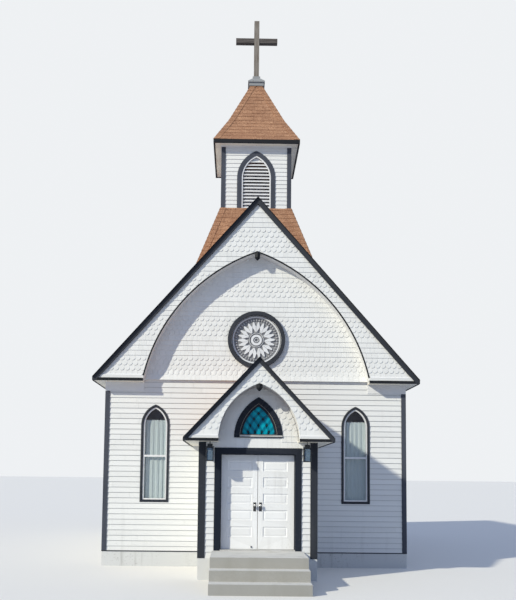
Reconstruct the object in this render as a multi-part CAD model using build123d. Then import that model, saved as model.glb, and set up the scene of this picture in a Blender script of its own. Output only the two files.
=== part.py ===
from build123d import *
from dataclasses import dataclass
from math import asin, atan2, cos, hypot, sin, sqrt
import os

# Small timber chapel with a vestibule, two pointed-arch gable screens and a louvred belfry.
# Millimetres, +Z up, front towards -Y. The origin is on the ground, on the centreline,
# in the plane of the nave's front wall.

# Fits
FIT = 0.3
DOOR_GAP = 5
MEETING_GAP = 10

# Ground works
FOUNDATION_HEIGHT = 350
FOUNDATION_PROUD = 20
PORCH_FOUNDATION_HEIGHT = 460
FLOOR_LEVEL = 640
SILL_NOSE = 20
STEP_WIDTH = 1930
LANDING_DEPTH = 1300
TREAD_DEPTH = 350
LOWER_TREADS = 2

# Walls
NAVE_WIDTH = 7400
NAVE_LENGTH = 11000
PORCH_DEPTH = 2300
WALL = 180
TRIM_PROUD = 28
NAVE_CORNER_BOARD = 115
PORCH_CORNER_BOARD = 155
FRIEZE_HEIGHT = 220
FLARE_PROUD = 60
FLARE_HEIGHT = 230
FLARE_WAIST = 20

# Entrance doors
DOORWAY_HALF = 800
DOORWAY_HEIGHT = 2035
JAMB = 35
CASING = 135
STOP = 14
LEAF = 45
MEETING_STILE = 105
HINGE_STILE = 145
TOP_RAIL = 130
MID_RAIL = 120
BOTTOM_RAIL = 250
PANELS = 5
PANEL_SINK = 12
HANDLE_HEIGHT = 905
HANDLE_PLATE_WIDTH = 60
HANDLE_PLATE_HEIGHT = 190
HANDLE_PLATE_THICK = 6
HANDLE_INSET = 58
KNOB_RADIUS = 26
KNOB_THICK = 22
KNOB_REACH = 42
KNOB_NECK = 10
HINGE_RADIUS = 8
HINGE_CLEARANCE = 4
HINGE_KNUCKLE = 38
HINGE_BREAK = 2
HINGE_PLATE = 34
HINGE_PLATE_THICK = 6
HINGES = 3
HINGE_END = 230
INNER_DOORWAY_HEIGHT = 2110
HEAD_GAP = 120

# Pointed windows
LANCET_HALF = 350
LANCET_RADIUS = 547
LANCET_SILL_HEIGHT = 910
LANCET_HEAD_GAP = 330
LANCET_FRAME = 45
LANCET_SASH = 48
LANCET_LOWER_SASH = 1130
LANCET_INSET = 1225
SIDE_WINDOWS = 3
TRANSOM_HALF = 525
TRANSOM_RADIUS = 990
TRANSOM_GAP = 220
TRANSOM_FRAME = 170
TRANSOM_BOTTOM_RAIL = 70
GLASS = 8
GLASS_SETBACK = 20
SASH_DEPTH = 45
FRAME_DEPTH = 120
CURTAIN_RISE = 140
CURTAIN_THICK = 30
CURTAIN_SETBACK = 100

# Rose window
ROSE_GAP = 90
ROSE_RADIUS = 715
ROSE_BAND = 95
ROSE_PROUD = 90
ROSE_RIM = 40
ROSE_PETALS = 12
ROSE_HUB = 130
PETAL_ROOT = 110
PETAL_TIP = 480
PETAL_HALF = 52
SPOKE = 22
TRACERY_DEPTH = 36

# Lanterns
LANTERN_WIDTH = 155
LANTERN_FORWARD = 250
LANTERN_DROP = 165
LANTERN_HEIGHT = 300
LANTERN_BAR = 18
LANTERN_HOOD_WIDTH = 110
LANTERN_HOOD_HEIGHT = 70
LANTERN_SPACE = 188

# Belfry
TOWER_WIDTH = 1910
TOWER_FRONT = 1800
TOWER_WALL = 120
TOWER_RISE = 530
TOWER_HEIGHT = 1800
TOWER_FASCIA = 92
TOWER_OVERHANG = 250
TOWER_CORNER_BOARD = 120
BED_MOULD = 40
BED_MOULD_PROUD = 45
SKIRT_LIP = 30
SKIRT_RISE_PER_RUN = 2.92
SKIRT_THICK = 60
LOUVRE_HALF = 535
LOUVRE_RADIUS = 832
LOUVRE_JAMB = 880
LOUVRE_FRAME = 125
LOUVRE_BEAD = 36
LOUVRE_BEAD_PROUD = 18
LOUVRE_HOUSING = 45
LOUVRE_PITCH = 94
LOUVRE_SLAT = 20
LOUVRE_SLOPE_DEPTH = 90
LOUVRE_DROP = 75
SPIRE_KINK_HALF = 770
SPIRE_KINK_RISE = 770
SPIRE_TOP_HALF = 168
SPIRE_TOP_RISE = 1345
SPIRE_SHELL = 80
CAP_HALF = 246
CAP_BODY_HALF = 215
CAP_BODY = 100
CAP_SLAB = 36
CAP_SLOPE = 130
CAP_NECK_HALF = 125
COLLAR_HALF = 112
COLLAR_HEIGHT = 75
CROSS_POST = 150
CROSS_ARM = 140
CROSS_SPAN = 1230
CROSS_ARM_HEIGHT = 1140
CROSS_HEIGHT = 1745
CROSS_ARM_SETBACK = 15

# Boards that both roofs share
SOFFIT = 20
FASCIA = 25
RAKE = 65
SCREEN = 50
LIP_PROUD = 40
ARCH_LINING = 20
ARCH_EDGE = 35
ARCH_EDGE_PROUD = 12
PENDANT_WIDTH = 130
PENDANT_TIP = 32
RIDGE_CAP_WIDTH = 150
RIDGE_CAP_THICK = 12

# Sizes that follow from those above
NAVE_HALF = NAVE_WIDTH / 2
DOORWAY_HEAD = FLOOR_LEVEL + DOORWAY_HEIGHT
INNER_DOORWAY_HEAD = FLOOR_LEVEL + INNER_DOORWAY_HEIGHT
HANDLE_LEVEL = FLOOR_LEVEL + HANDLE_HEIGHT
LANDING_LEVEL = FLOOR_LEVEL - SILL_NOSE
LANTERN_X = DOORWAY_HALF + CASING + LANTERN_SPACE / 2
LANTERN_BOTTOM = DOORWAY_HEAD - LANTERN_DROP
PORCH_HALF = DOORWAY_HALF + CASING + LANTERN_SPACE + PORCH_CORNER_BOARD - TRIM_PROUD
PORCH_FRONT = -PORCH_DEPTH
PORCH_INSIDE = PORCH_FRONT + WALL
DOOR_HINGE_Y = PORCH_INSIDE + HINGE_RADIUS + HINGE_CLEARANCE
TRANSOM_SILL = DOORWAY_HEAD + CASING + TRANSOM_GAP


@dataclass
class Gable:
    """One gabled roof and the arched screen that fills its front overhang."""
    soffit: float
    eave_face: float
    slope: float
    wall_half: float
    eaves: float
    wall_front: float
    overhang: float
    back: float
    deck: float
    rake_face: float
    fascia: float
    lip: float
    arch_inset: float
    arch_radius: float
    arch_drop: float
    pendant: float

    @property
    def eave_half(self):
        """Half width over the eaves."""
        return self.wall_half + self.eaves

    @property
    def ridge(self):
        """Level of the ridge."""
        return self.soffit + self.eave_face + self.slope * self.eave_half

    @property
    def arch_half(self):
        """Half width of the arch at the screen's bottom edge."""
        return self.wall_half - self.arch_inset

    @property
    def arch_apex(self):
        """Level of the arch's point."""
        return self.ridge - self.arch_drop

    @property
    def stretch(self):
        """Vertical thickness of a board for each unit of its square thickness."""
        return sqrt(1 + self.slope ** 2)

    @property
    def face(self):
        """Front face of the arched screen."""
        return self.wall_front - self.overhang

    @property
    def foot(self):
        """Level of the screen's bottom edge."""
        return self.soffit + self.fascia

    def top(self, x):
        """Level of the roof's upper surface."""
        return self.ridge - self.slope * x

    def under(self, x):
        """Level of the deck's lower surface."""
        return self.top(x) - self.deck * self.stretch

    def deck_reach(self, level):
        """Distance from the centreline to the deck's lower surface at a level."""
        return (self.under(0) - level) / self.slope

    def rake_edge(self, level):
        """Distance from the centreline to the rake board's lower edge at a level."""
        return (self.ridge - self.rake_face * self.stretch - level) / self.slope


MAIN = Gable(soffit=4500, eave_face=70, slope=1.14, wall_half=NAVE_HALF, eaves=300, wall_front=0,
             overhang=300, back=NAVE_LENGTH + 300, deck=90, rake_face=110, fascia=65, lip=65,
             arch_inset=940, arch_radius=4300, arch_drop=1390, pendant=190)
PORCH = Gable(soffit=DOORWAY_HEAD + CASING + HEAD_GAP, eave_face=58, slope=1.0766, wall_half=PORCH_HALF,
              eaves=340, wall_front=PORCH_FRONT, overhang=450, back=0, deck=44, rake_face=80, fascia=58,
              lip=45, arch_inset=400, arch_radius=1240, arch_drop=550, pendant=160)

ROSE_LEVEL = max(PORCH.ridge, MAIN.foot + FLARE_HEIGHT) + ROSE_GAP + ROSE_RADIUS
LANCET_SILL = FLOOR_LEVEL + LANCET_SILL_HEIGHT
LANCET_ARC_RISE = sqrt(LANCET_RADIUS ** 2 - (LANCET_RADIUS - LANCET_HALF) ** 2)
LANCET_SPRING = MAIN.soffit - FRIEZE_HEIGHT - LANCET_HEAD_GAP - LANCET_ARC_RISE
LANCET_MEETING_RAIL = LANCET_SILL + LANCET_LOWER_SASH
LANCET_X = NAVE_HALF - LANCET_INSET
CURTAIN_TOP = LANCET_SPRING + CURTAIN_RISE
TOWER_HALF = TOWER_WIDTH / 2
TOWER_MIDDLE = TOWER_FRONT + TOWER_HALF
TOWER_BOTTOM = MAIN.ridge + TOWER_RISE
TOWER_SOFFIT = TOWER_BOTTOM + TOWER_HEIGHT
LOUVRE_SPRING = TOWER_BOTTOM + LOUVRE_JAMB
SPIRE_HALF = TOWER_HALF + TOWER_OVERHANG
SPIRE_BASE = TOWER_SOFFIT + TOWER_FASCIA
SPIRE_KINK = SPIRE_BASE + SPIRE_KINK_RISE
SPIRE_TOP = SPIRE_KINK + SPIRE_TOP_RISE
COLLAR_LEVEL = SPIRE_TOP + CAP_BODY + CAP_SLAB + CAP_SLOPE
CROSS_FOOT = COLLAR_LEVEL + COLLAR_HEIGHT
CROSS_TOP = CROSS_FOOT + CROSS_HEIGHT


def block(x0, x1, y0, y1, z0, z1):
    """A box between two corners."""
    middle = Pos((x0 + x1) / 2, (y0 + y1) / 2, (z0 + z1) / 2)
    return middle * Box(x1 - x0, y1 - y0, z1 - z0)


def prism(sketch, y0, y1):
    """A sketch drawn as (x, z), given depth from y0 back to y1."""
    plane = Plane(origin=(0, y1, 0), x_dir=(1, 0, 0), z_dir=(0, -1, 0))
    return extrude(plane * sketch, amount=y1 - y0, dir=(0, -1, 0))


def strip(sketch, half):
    """A sketch drawn as (forward, z), drawn out to the same distance on both sides."""
    plane = Plane(origin=(half, 0, 0), x_dir=(0, -1, 0), z_dir=(-1, 0, 0))
    return extrude(plane * sketch, amount=2 * half, dir=(-1, 0, 0))


def polygon(*points):
    """A straight-sided sketch."""
    return Polygon(*points, align=None)


def flip(piece):
    """The same piece on the other side of the centreline."""
    return mirror(piece, about=Plane.YZ)


def both(piece):
    """A piece and its mirror image."""
    return [piece, flip(piece)]


def faceted(sides, *breaks):
    """An upright form with an even number of equal sides, from its breaks (half width, level)."""
    reach = 2 * max(half for half, level in breaks)
    slab = prism(polygon(*breaks, *[(-half, level) for half, level in reversed(breaks)]), -reach, reach)
    form = slab
    for index in range(1, sides // 2):
        form &= Rot(0, 0, 360 * index / sides) * slab
    return form


def write(name, *pieces):
    """Write one node."""
    solids = [solid for piece in pieces for solid in piece.solids()]
    shape = solids[0] if len(solids) == 1 else Compound(children=solids)
    export_step(shape, f"parts/{name}.step")


def pointed(half, radius, spring, sill, inset=0):
    """A pointed opening: two arcs struck from the spring line, over straight sides."""
    reach = radius - inset
    centre = half - radius
    start = max(sill, spring)
    foot = centre + sqrt(reach ** 2 - (start - spring) ** 2)
    apex = spring + sqrt(reach ** 2 - centre ** 2)
    middle = (asin((start - spring) / reach) + atan2(apex - spring, -centre)) / 2
    shoulder = (centre + reach * cos(middle), spring + reach * sin(middle))
    right = ThreePointArc((foot, start), shoulder, (0, apex))
    left = ThreePointArc((0, apex), (-shoulder[0], shoulder[1]), (-foot, start))
    base = Polyline((-foot, start), (-foot, sill), (foot, sill), (foot, start)) if sill < start \
        else Line((-foot, sill), (foot, sill))
    return make_face(right + left + base)


def arch_line(g, outset=0):
    """Centre, reach and half angles of a gable arch's right-hand arc."""
    rise = g.arch_apex - g.foot
    chord = hypot(g.arch_half, rise)
    sag = sqrt(g.arch_radius ** 2 - (chord / 2) ** 2)
    centre_x = g.arch_half / 2 - sag * rise / chord
    centre_z = g.foot + rise / 2 - sag * g.arch_half / chord
    return centre_x, centre_z, g.arch_radius + outset


def arch_region(g, outset=0):
    """Everything under a gable arch, from the soffit up, widened by an outset."""
    centre_x, centre_z, reach = arch_line(g, outset)
    low = asin((g.soffit - centre_z) / reach)
    high = atan2(sqrt(reach ** 2 - centre_x ** 2), -centre_x)
    foot = (centre_x + reach * cos(low), g.soffit)
    shoulder = (centre_x + reach * cos((low + high) / 2), centre_z + reach * sin((low + high) / 2))
    apex = (0, centre_z + sqrt(reach ** 2 - centre_x ** 2))
    right = ThreePointArc(foot, shoulder, apex)
    left = ThreePointArc(apex, (-shoulder[0], shoulder[1]), (-foot[0], foot[1]))
    return make_face(right + left + Line((-foot[0], foot[1]), foot))


def right_half(piece):
    """The part of a piece on the right of the centreline."""
    reach = 2 * NAVE_WIDTH
    return piece & block(0, reach, -reach, 2 * reach, 0, 2 * CROSS_TOP)


# Ground works

def foundation():
    """Poured base under the nave and the vestibule."""
    proud = FOUNDATION_PROUD
    nave = block(-NAVE_HALF - proud, NAVE_HALF + proud, -proud, NAVE_LENGTH + proud, 0, FOUNDATION_HEIGHT)
    porch = block(-PORCH_HALF - proud, PORCH_HALF + proud, PORCH_FRONT - proud, -proud, 0,
                  PORCH_FOUNDATION_HEIGHT)
    return nave + porch


def landing():
    """Concrete landing in front of the doors."""
    back = PORCH_FRONT - FOUNDATION_PROUD
    return block(-STEP_WIDTH / 2, STEP_WIDTH / 2, back - LANDING_DEPTH, back, 0, LANDING_LEVEL)


def lower_treads():
    """Steps from the ground up to the landing."""
    back = PORCH_FRONT - FOUNDATION_PROUD - LANDING_DEPTH
    treads = []
    for index in range(LOWER_TREADS):
        level = LANDING_LEVEL * (LOWER_TREADS - index) / (LOWER_TREADS + 1)
        treads.append(block(-STEP_WIDTH / 2, STEP_WIDTH / 2, back - (index + 1) * TREAD_DEPTH,
                            back - index * TREAD_DEPTH, 0, level))
    return treads


def nave_floor():
    """Joists and boards of the nave, with the threshold in the inner doorway."""
    inside = NAVE_HALF - WALL
    room = block(-inside, inside, WALL, NAVE_LENGTH - WALL, FOUNDATION_HEIGHT, FLOOR_LEVEL)
    threshold = block(-DOORWAY_HALF, DOORWAY_HALF, 0, WALL, FOUNDATION_HEIGHT, FLOOR_LEVEL)
    return room + threshold


def porch_floor():
    """Joists and boards of the vestibule."""
    inside = PORCH_HALF - WALL
    return block(-inside, inside, PORCH_INSIDE, 0, PORCH_FOUNDATION_HEIGHT, FLOOR_LEVEL)


# Windows

def lancet_hole():
    """Opening cut through a wall whose outer face is y = 0."""
    outline = pointed(LANCET_HALF + FIT, LANCET_RADIUS + FIT, LANCET_SPRING, LANCET_SILL - FIT)
    return prism(outline, -WALL, 2 * WALL)


def lancet_frame():
    """Dark outer frame of a pointed window."""
    outer = pointed(LANCET_HALF, LANCET_RADIUS, LANCET_SPRING, LANCET_SILL)
    inner = pointed(LANCET_HALF, LANCET_RADIUS, LANCET_SPRING, LANCET_SILL + LANCET_FRAME, LANCET_FRAME)
    return prism(outer - inner, -TRIM_PROUD, FRAME_DEPTH)


def lancet_sash():
    """White sash with its meeting rail."""
    edge = LANCET_FRAME + FIT
    sight = LANCET_FRAME + LANCET_SASH
    outer = pointed(LANCET_HALF, LANCET_RADIUS, LANCET_SPRING, LANCET_SILL + edge, edge)
    inner = pointed(LANCET_HALF, LANCET_RADIUS, LANCET_SPRING, LANCET_SILL + sight, sight)
    ring = prism(outer - inner, 0, SASH_DEPTH)
    half = LANCET_HALF - sight + LANCET_SASH / 2
    level = LANCET_MEETING_RAIL
    return ring + block(-half, half, 0, SASH_DEPTH, level - LANCET_SASH / 2, level + LANCET_SASH / 2)


def lancet_glass():
    """Panes above and below the meeting rail."""
    edge = LANCET_FRAME + LANCET_SASH + FIT
    outline = pointed(LANCET_HALF, LANCET_RADIUS, LANCET_SPRING, LANCET_SILL + edge, edge)
    sheet = prism(outline, GLASS_SETBACK, GLASS_SETBACK + GLASS)
    rail = LANCET_SASH / 2 + FIT
    return sheet - block(-LANCET_HALF, LANCET_HALF, 0, WALL, LANCET_MEETING_RAIL - rail,
                         LANCET_MEETING_RAIL + rail)


def curtain():
    """Gathered curtain that fills the reveal below its rod."""
    inset = LANCET_FRAME + FIT
    outline = pointed(LANCET_HALF, LANCET_RADIUS, LANCET_SPRING, LANCET_SILL + inset, inset)
    cloth = prism(outline, CURTAIN_SETBACK - CURTAIN_THICK, CURTAIN_SETBACK)
    return cloth - block(-LANCET_HALF, LANCET_HALF, 0, WALL, CURTAIN_TOP, LANCET_SPRING + LANCET_RADIUS)


def front_places():
    """Where the front wall's windows stand."""
    return [Pos(side * LANCET_X, 0, 0) for side in (-1, 1)]


def rear_places():
    """The same pair in the rear wall."""
    return [Pos(side * LANCET_X, NAVE_LENGTH, 0) * Rot(0, 0, 180) for side in (-1, 1)]


def side_places(side):
    """Windows evenly spaced along a side wall."""
    bay = NAVE_LENGTH / SIDE_WINDOWS
    turn = Rot(0, 0, 90 * side)
    return [Pos(side * NAVE_HALF, bay * (index + 0.5), 0) * turn for index in range(SIDE_WINDOWS)]


def all_places():
    """Every pointed window of the nave."""
    return front_places() + side_places(-1) + side_places(1) + rear_places()


# Nave walls

def under_roof(g, y0, y1, bottom):
    """Wall-shaped filling below a roof's deck."""
    return prism(polygon((-g.wall_half, bottom), (g.wall_half, bottom), (g.wall_half, g.under(g.wall_half)),
                         (0, g.under(0)), (-g.wall_half, g.under(g.wall_half))), y0, y1)


def front_wall_side():
    """Front wall on the right of the inner doorway."""
    wall = block(DOORWAY_HALF, NAVE_HALF, 0, WALL, FOUNDATION_HEIGHT, MAIN.foot)
    return wall - Pos(LANCET_X, 0, 0) * lancet_hole()


def front_wall_gable():
    """Gable of the front wall, with the piece over the inner doorway and the rose window's hole."""
    gable = under_roof(MAIN, 0, WALL, MAIN.foot)
    over_door = block(-DOORWAY_HALF, DOORWAY_HALF, 0, WALL, INNER_DOORWAY_HEAD, MAIN.foot)
    hole = prism(Pos(0, ROSE_LEVEL) * Circle(ROSE_RADIUS + FIT), -WALL, 2 * WALL)
    return gable + over_door - hole


def gable_flare():
    """Kicked-out base of the shingled gable."""
    half = arch_foot(MAIN)
    bottom = MAIN.foot
    outline = polygon((0, bottom), (FLARE_PROUD, bottom), (FLARE_PROUD, bottom + FASCIA),
                      (FLARE_WAIST, bottom + FLARE_HEIGHT / 2), (0, bottom + FLARE_HEIGHT))
    porch_top = PORCH.ridge
    reach = porch_top / PORCH.slope
    porch = prism(polygon((0, porch_top), (reach, 0), (-reach, 0)), -WALL, 0)
    return (strip(outline, half) & prism(arch_region(MAIN, -FIT), -WALL, 0)) - porch


def arch_foot(g):
    """Half width of the arch where it stands on the soffit."""
    return arch_span(g, g.soffit)


def side_wall():
    """Right side wall, bevelled on top to carry the roof."""
    g = MAIN
    inside = NAVE_HALF - WALL
    outline = polygon((inside, FOUNDATION_HEIGHT), (NAVE_HALF, FOUNDATION_HEIGHT),
                      (NAVE_HALF, g.under(NAVE_HALF)), (inside, g.under(inside)))
    wall = prism(outline, WALL, NAVE_LENGTH - WALL)
    for place in side_places(1):
        wall -= place * lancet_hole()
    return wall


def rear_wall():
    """Rear wall with its gable."""
    wall = under_roof(MAIN, NAVE_LENGTH - WALL, NAVE_LENGTH, FOUNDATION_HEIGHT)
    for place in rear_places():
        wall -= place * lancet_hole()
    return wall


def angle_board(half, front, depth_end, face, bottom, top):
    """L-shaped corner board round a front right corner."""
    proud = TRIM_PROUD
    return block(half + proud - face, half + proud, front - proud, front, bottom, top) \
        + block(half, half + proud, front, depth_end, bottom, top)


def nave_corner_boards():
    """Corner boards of the nave, front and rear."""
    face = NAVE_CORNER_BOARD
    top = MAIN.soffit - FRIEZE_HEIGHT
    front = angle_board(NAVE_HALF, 0, face - TRIM_PROUD, face, FOUNDATION_HEIGHT, top)
    rear = Pos(0, NAVE_LENGTH, 0) * mirror(front, about=Plane.XZ)
    return both(front) + both(rear)


def porch_corner_boards():
    """Corner boards of the vestibule's two front corners."""
    face = PORCH_CORNER_BOARD
    board = angle_board(PORCH_HALF, PORCH_FRONT, PORCH_FRONT + face - TRIM_PROUD, face,
                        PORCH_FOUNDATION_HEIGHT, PORCH.soffit)
    return both(board)


def tower_corner_boards():
    """Corner boards of the belfry."""
    face = TOWER_CORNER_BOARD
    front = angle_board(TOWER_HALF, -TOWER_HALF, -TOWER_HALF + face - TRIM_PROUD, face, TOWER_BOTTOM,
                        TOWER_SOFFIT - BED_MOULD)
    corners = both(front) + both(mirror(front, about=Plane.XZ))
    return [Pos(0, TOWER_MIDDLE, 0) * corner for corner in corners]


def frieze_boards():
    """Frieze under the soffits of the nave: along each side and at the front returns."""
    bottom = MAIN.soffit - FRIEZE_HEIGHT
    side = block(NAVE_HALF, NAVE_HALF + TRIM_PROUD, 0, NAVE_LENGTH, bottom, MAIN.soffit)
    front = block(arch_foot(MAIN), NAVE_HALF + TRIM_PROUD, -TRIM_PROUD, 0, bottom, MAIN.soffit)
    rear = block(arch_foot(MAIN), NAVE_HALF + TRIM_PROUD, NAVE_LENGTH, NAVE_LENGTH + TRIM_PROUD, bottom,
                 MAIN.soffit)
    return both(side + front + rear)


def bed_mould():
    """Moulding round the belfry under its soffit."""
    half = TOWER_HALF + BED_MOULD_PROUD
    bottom = TOWER_SOFFIT - BED_MOULD
    return square_form((half, bottom), (half, TOWER_SOFFIT)) \
        - square_form((TOWER_HALF, bottom), (TOWER_HALF, TOWER_SOFFIT))


# Roofs

def roof_slope(g):
    """Right-hand roof deck."""
    edge = g.eave_half - FASCIA
    outline = polygon((0, g.top(0)), (edge, g.top(edge)), (edge, g.under(edge)), (0, g.under(0)))
    slab = prism(outline, g.face, g.back)
    return slab - block(0, g.eave_half, g.face - 1, g.back + 1, 0, g.soffit + SOFFIT)


def rake_board(g, y0, y1):
    """Right-hand rake board, with a level cut at the eave."""
    drop = g.rake_face * g.stretch
    outline = polygon((0, g.top(0)), (g.eave_half, g.top(g.eave_half)), (g.eave_half, g.soffit),
                      (g.rake_edge(g.soffit), g.soffit), (0, g.top(0) - drop))
    return prism(outline, y0, y1) - block(-FIT, FIT, y0 - 1, y1 + 1, 0, g.ridge + 1)


def arch_span(g, level):
    """Half width of the arch at a level."""
    centre_x, centre_z, reach = arch_line(g)
    return centre_x + sqrt(reach ** 2 - (level - centre_z) ** 2)


def screen(g):
    """Right-hand half of the arched screen."""
    outline = polygon((0, g.foot), (g.deck_reach(g.foot), g.foot), (0, g.under(0)))
    return right_half(prism(outline - arch_region(g), g.face, g.face + SCREEN))


def screen_lip(g):
    """White lip along the bottom edge of the screen, on the right, from the arch to the rake."""
    top = g.foot + g.lip
    outline = polygon((arch_span(g, g.foot), g.foot), (g.rake_edge(g.foot), g.foot), (g.rake_edge(top), top),
                      (arch_span(g, g.foot), top))
    return prism(outline, g.face - LIP_PROUD, g.face)


def arch_lining(g):
    """Right-hand half of the curved lining between the screen and the wall."""
    ring = arch_region(g, ARCH_LINING) - arch_region(g)
    lining = prism(ring, g.face + SCREEN, g.wall_front)
    below_deck = under_roof_space(g)
    return right_half(lining & below_deck)


def under_roof_space(g):
    """Everything below a roof's deck and above its soffit boards."""
    floor = g.soffit + SOFFIT
    reach = g.deck_reach(floor)
    return prism(polygon((-reach, floor), (reach, floor), (0, g.under(0))), g.face, g.back)


def arch_edge(g):
    """Thin dark trim that follows the arch on the face of the screen."""
    ring = arch_region(g, ARCH_EDGE) - arch_region(g)
    above_lip = block(0, g.eave_half, g.face - ARCH_EDGE_PROUD, g.face, g.foot + g.lip, g.ridge)
    return prism(ring, g.face - ARCH_EDGE_PROUD, g.face) & above_lip


def pendant(g):
    """Faceted drop under the point of the arch."""
    top = g.arch_apex
    bottom = top - g.pendant
    half = PENDANT_WIDTH / 2
    drop = faceted(6, (PENDANT_TIP / 2, bottom), (half, bottom + half), (half, top + half))
    return (Pos(0, g.face + SCREEN / 2, 0) * drop) \
        & prism(arch_region(g, -FIT), g.face - PENDANT_WIDTH, g.face + PENDANT_WIDTH)


def soffits(g):
    """Right-hand soffit: the front return and the board along the side eave."""
    edge = g.eave_half - FASCIA
    rear = g.back if g is PORCH else NAVE_LENGTH
    side = block(g.wall_half, edge, g.face, rear, g.soffit, g.soffit + SOFFIT)
    front = block(arch_foot(g), g.wall_half, g.face, g.wall_front, g.soffit, g.soffit + SOFFIT)
    return side + front


def eave_end():
    """Board that closes the rear end of the nave's eave box."""
    g = MAIN
    floor = g.soffit + SOFFIT
    outline = polygon((NAVE_HALF, floor), (g.deck_reach(floor), floor), (NAVE_HALF, g.under(NAVE_HALF)))
    board = prism(outline, NAVE_LENGTH - FASCIA, NAVE_LENGTH)
    return board & block(0, g.eave_half - FASCIA, 0, NAVE_LENGTH, 0, g.ridge)


def fascias(g):
    """Right-hand fascias: along the side eave and under the screen's lip."""
    outer = g.eave_half
    side = block(outer - FASCIA, outer, g.face, g.back, g.soffit, g.top(outer))
    level = g.foot
    front = prism(polygon((arch_foot(g), g.soffit), (g.rake_edge(g.soffit), g.soffit),
                          (g.rake_edge(level), level), (arch_foot(g), level)), g.face - RAKE, g.face)
    return [side, front]


def ridge_cap():
    """Folded cap along the ridge, in front of and behind the belfry."""
    g = MAIN
    half = RIDGE_CAP_WIDTH
    rise = RIDGE_CAP_THICK * g.stretch
    outline = polygon((0, g.ridge), (half, g.top(half)), (half, g.top(half) + rise), (0, g.ridge + rise),
                      (-half, g.top(half) + rise), (-half, g.top(half)))
    cap = prism(outline, g.face - RAKE, g.back + RAKE)
    return cap - skirt_form(0)


# Vestibule

def porch_side_wall():
    """Right side wall of the vestibule."""
    g = PORCH
    inside = PORCH_HALF - WALL
    outline = polygon((inside, PORCH_FOUNDATION_HEIGHT), (PORCH_HALF, PORCH_FOUNDATION_HEIGHT),
                      (PORCH_HALF, g.under(PORCH_HALF)), (inside, g.under(inside)))
    return prism(outline, PORCH_INSIDE, 0)


def porch_front_side():
    """Front wall on the right of the doors."""
    return block(DOORWAY_HALF + JAMB, PORCH_HALF, PORCH_FRONT, PORCH_INSIDE, PORCH_FOUNDATION_HEIGHT,
                 DOORWAY_HEAD + JAMB)


def porch_front_gable():
    """Front wall over the doors, with the transom's pointed hole."""
    wall = under_roof(PORCH, PORCH_FRONT, PORCH_INSIDE, DOORWAY_HEAD + JAMB)
    hole = pointed(TRANSOM_HALF + FIT, TRANSOM_RADIUS + FIT, TRANSOM_SILL, TRANSOM_SILL - FIT)
    return wall - prism(hole, PORCH_FRONT - WALL, PORCH_INSIDE + WALL)


def transom_frame():
    """Wide dark frame of the pointed transom."""
    outer = pointed(TRANSOM_HALF, TRANSOM_RADIUS, TRANSOM_SILL, TRANSOM_SILL)
    inner = pointed(TRANSOM_HALF, TRANSOM_RADIUS, TRANSOM_SILL, TRANSOM_SILL + TRANSOM_BOTTOM_RAIL,
                    TRANSOM_FRAME)
    return prism(outer - inner, PORCH_FRONT - TRIM_PROUD, PORCH_FRONT + FRAME_DEPTH)


def transom_glass():
    """Coloured leaded sheet in the transom."""
    outline = pointed(TRANSOM_HALF, TRANSOM_RADIUS, TRANSOM_SILL,
                      TRANSOM_SILL + TRANSOM_BOTTOM_RAIL + FIT, TRANSOM_FRAME + FIT)
    return prism(outline, PORCH_FRONT + GLASS_SETBACK, PORCH_FRONT + GLASS_SETBACK + GLASS)


def door_frame():
    """Jambs, head, stops and face casing of the entrance."""
    half = DOORWAY_HALF
    head = DOORWAY_HEAD
    leaf_front = PORCH_INSIDE - LEAF
    jamb = block(half, half + JAMB, PORCH_FRONT, PORCH_INSIDE, FLOOR_LEVEL, head + JAMB)
    casing = block(half, half + CASING, PORCH_FRONT - TRIM_PROUD, PORCH_FRONT, LANDING_LEVEL,
                   head + CASING)
    stop = block(half - STOP, half, leaf_front - DOOR_GAP - STOP, leaf_front - DOOR_GAP, FLOOR_LEVEL, head)
    sides = both(jamb + casing + stop)
    top = block(-half, half, PORCH_FRONT, PORCH_INSIDE, head, head + JAMB)
    top += block(-half, half, PORCH_FRONT - TRIM_PROUD, PORCH_FRONT, head, head + CASING)
    top += block(-half, half, leaf_front - DOOR_GAP - STOP, leaf_front - DOOR_GAP, head - STOP, head)
    return top + sides[0] + sides[1]


def door_sill():
    """Threshold between the jambs."""
    half = DOORWAY_HALF + JAMB
    inside = block(-half, half, PORCH_FRONT, PORCH_INSIDE, PORCH_FOUNDATION_HEIGHT, FLOOR_LEVEL)
    nose = block(-DOORWAY_HALF, DOORWAY_HALF, PORCH_FRONT - TRIM_PROUD, PORCH_FRONT, LANDING_LEVEL,
                 FLOOR_LEVEL)
    return inside + nose


def door_leaf():
    """Right-hand leaf with sunk panels on both faces."""
    inner, outer = MEETING_GAP / 2, DOORWAY_HALF - DOOR_GAP
    bottom, top = FLOOR_LEVEL + DOOR_GAP, DOORWAY_HEAD - DOOR_GAP
    front = PORCH_INSIDE - LEAF
    leaf = block(inner, outer, front, PORCH_INSIDE, bottom, top)
    height = (top - bottom - TOP_RAIL - BOTTOM_RAIL - MID_RAIL * (PANELS - 1)) / PANELS
    for index in range(PANELS):
        low = bottom + BOTTOM_RAIL + index * (height + MID_RAIL)
        for y in (front, PORCH_INSIDE):
            leaf -= block(inner + MEETING_STILE, outer - HINGE_STILE, y - PANEL_SINK, y + PANEL_SINK,
                          low, low + height)
    return leaf


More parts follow.
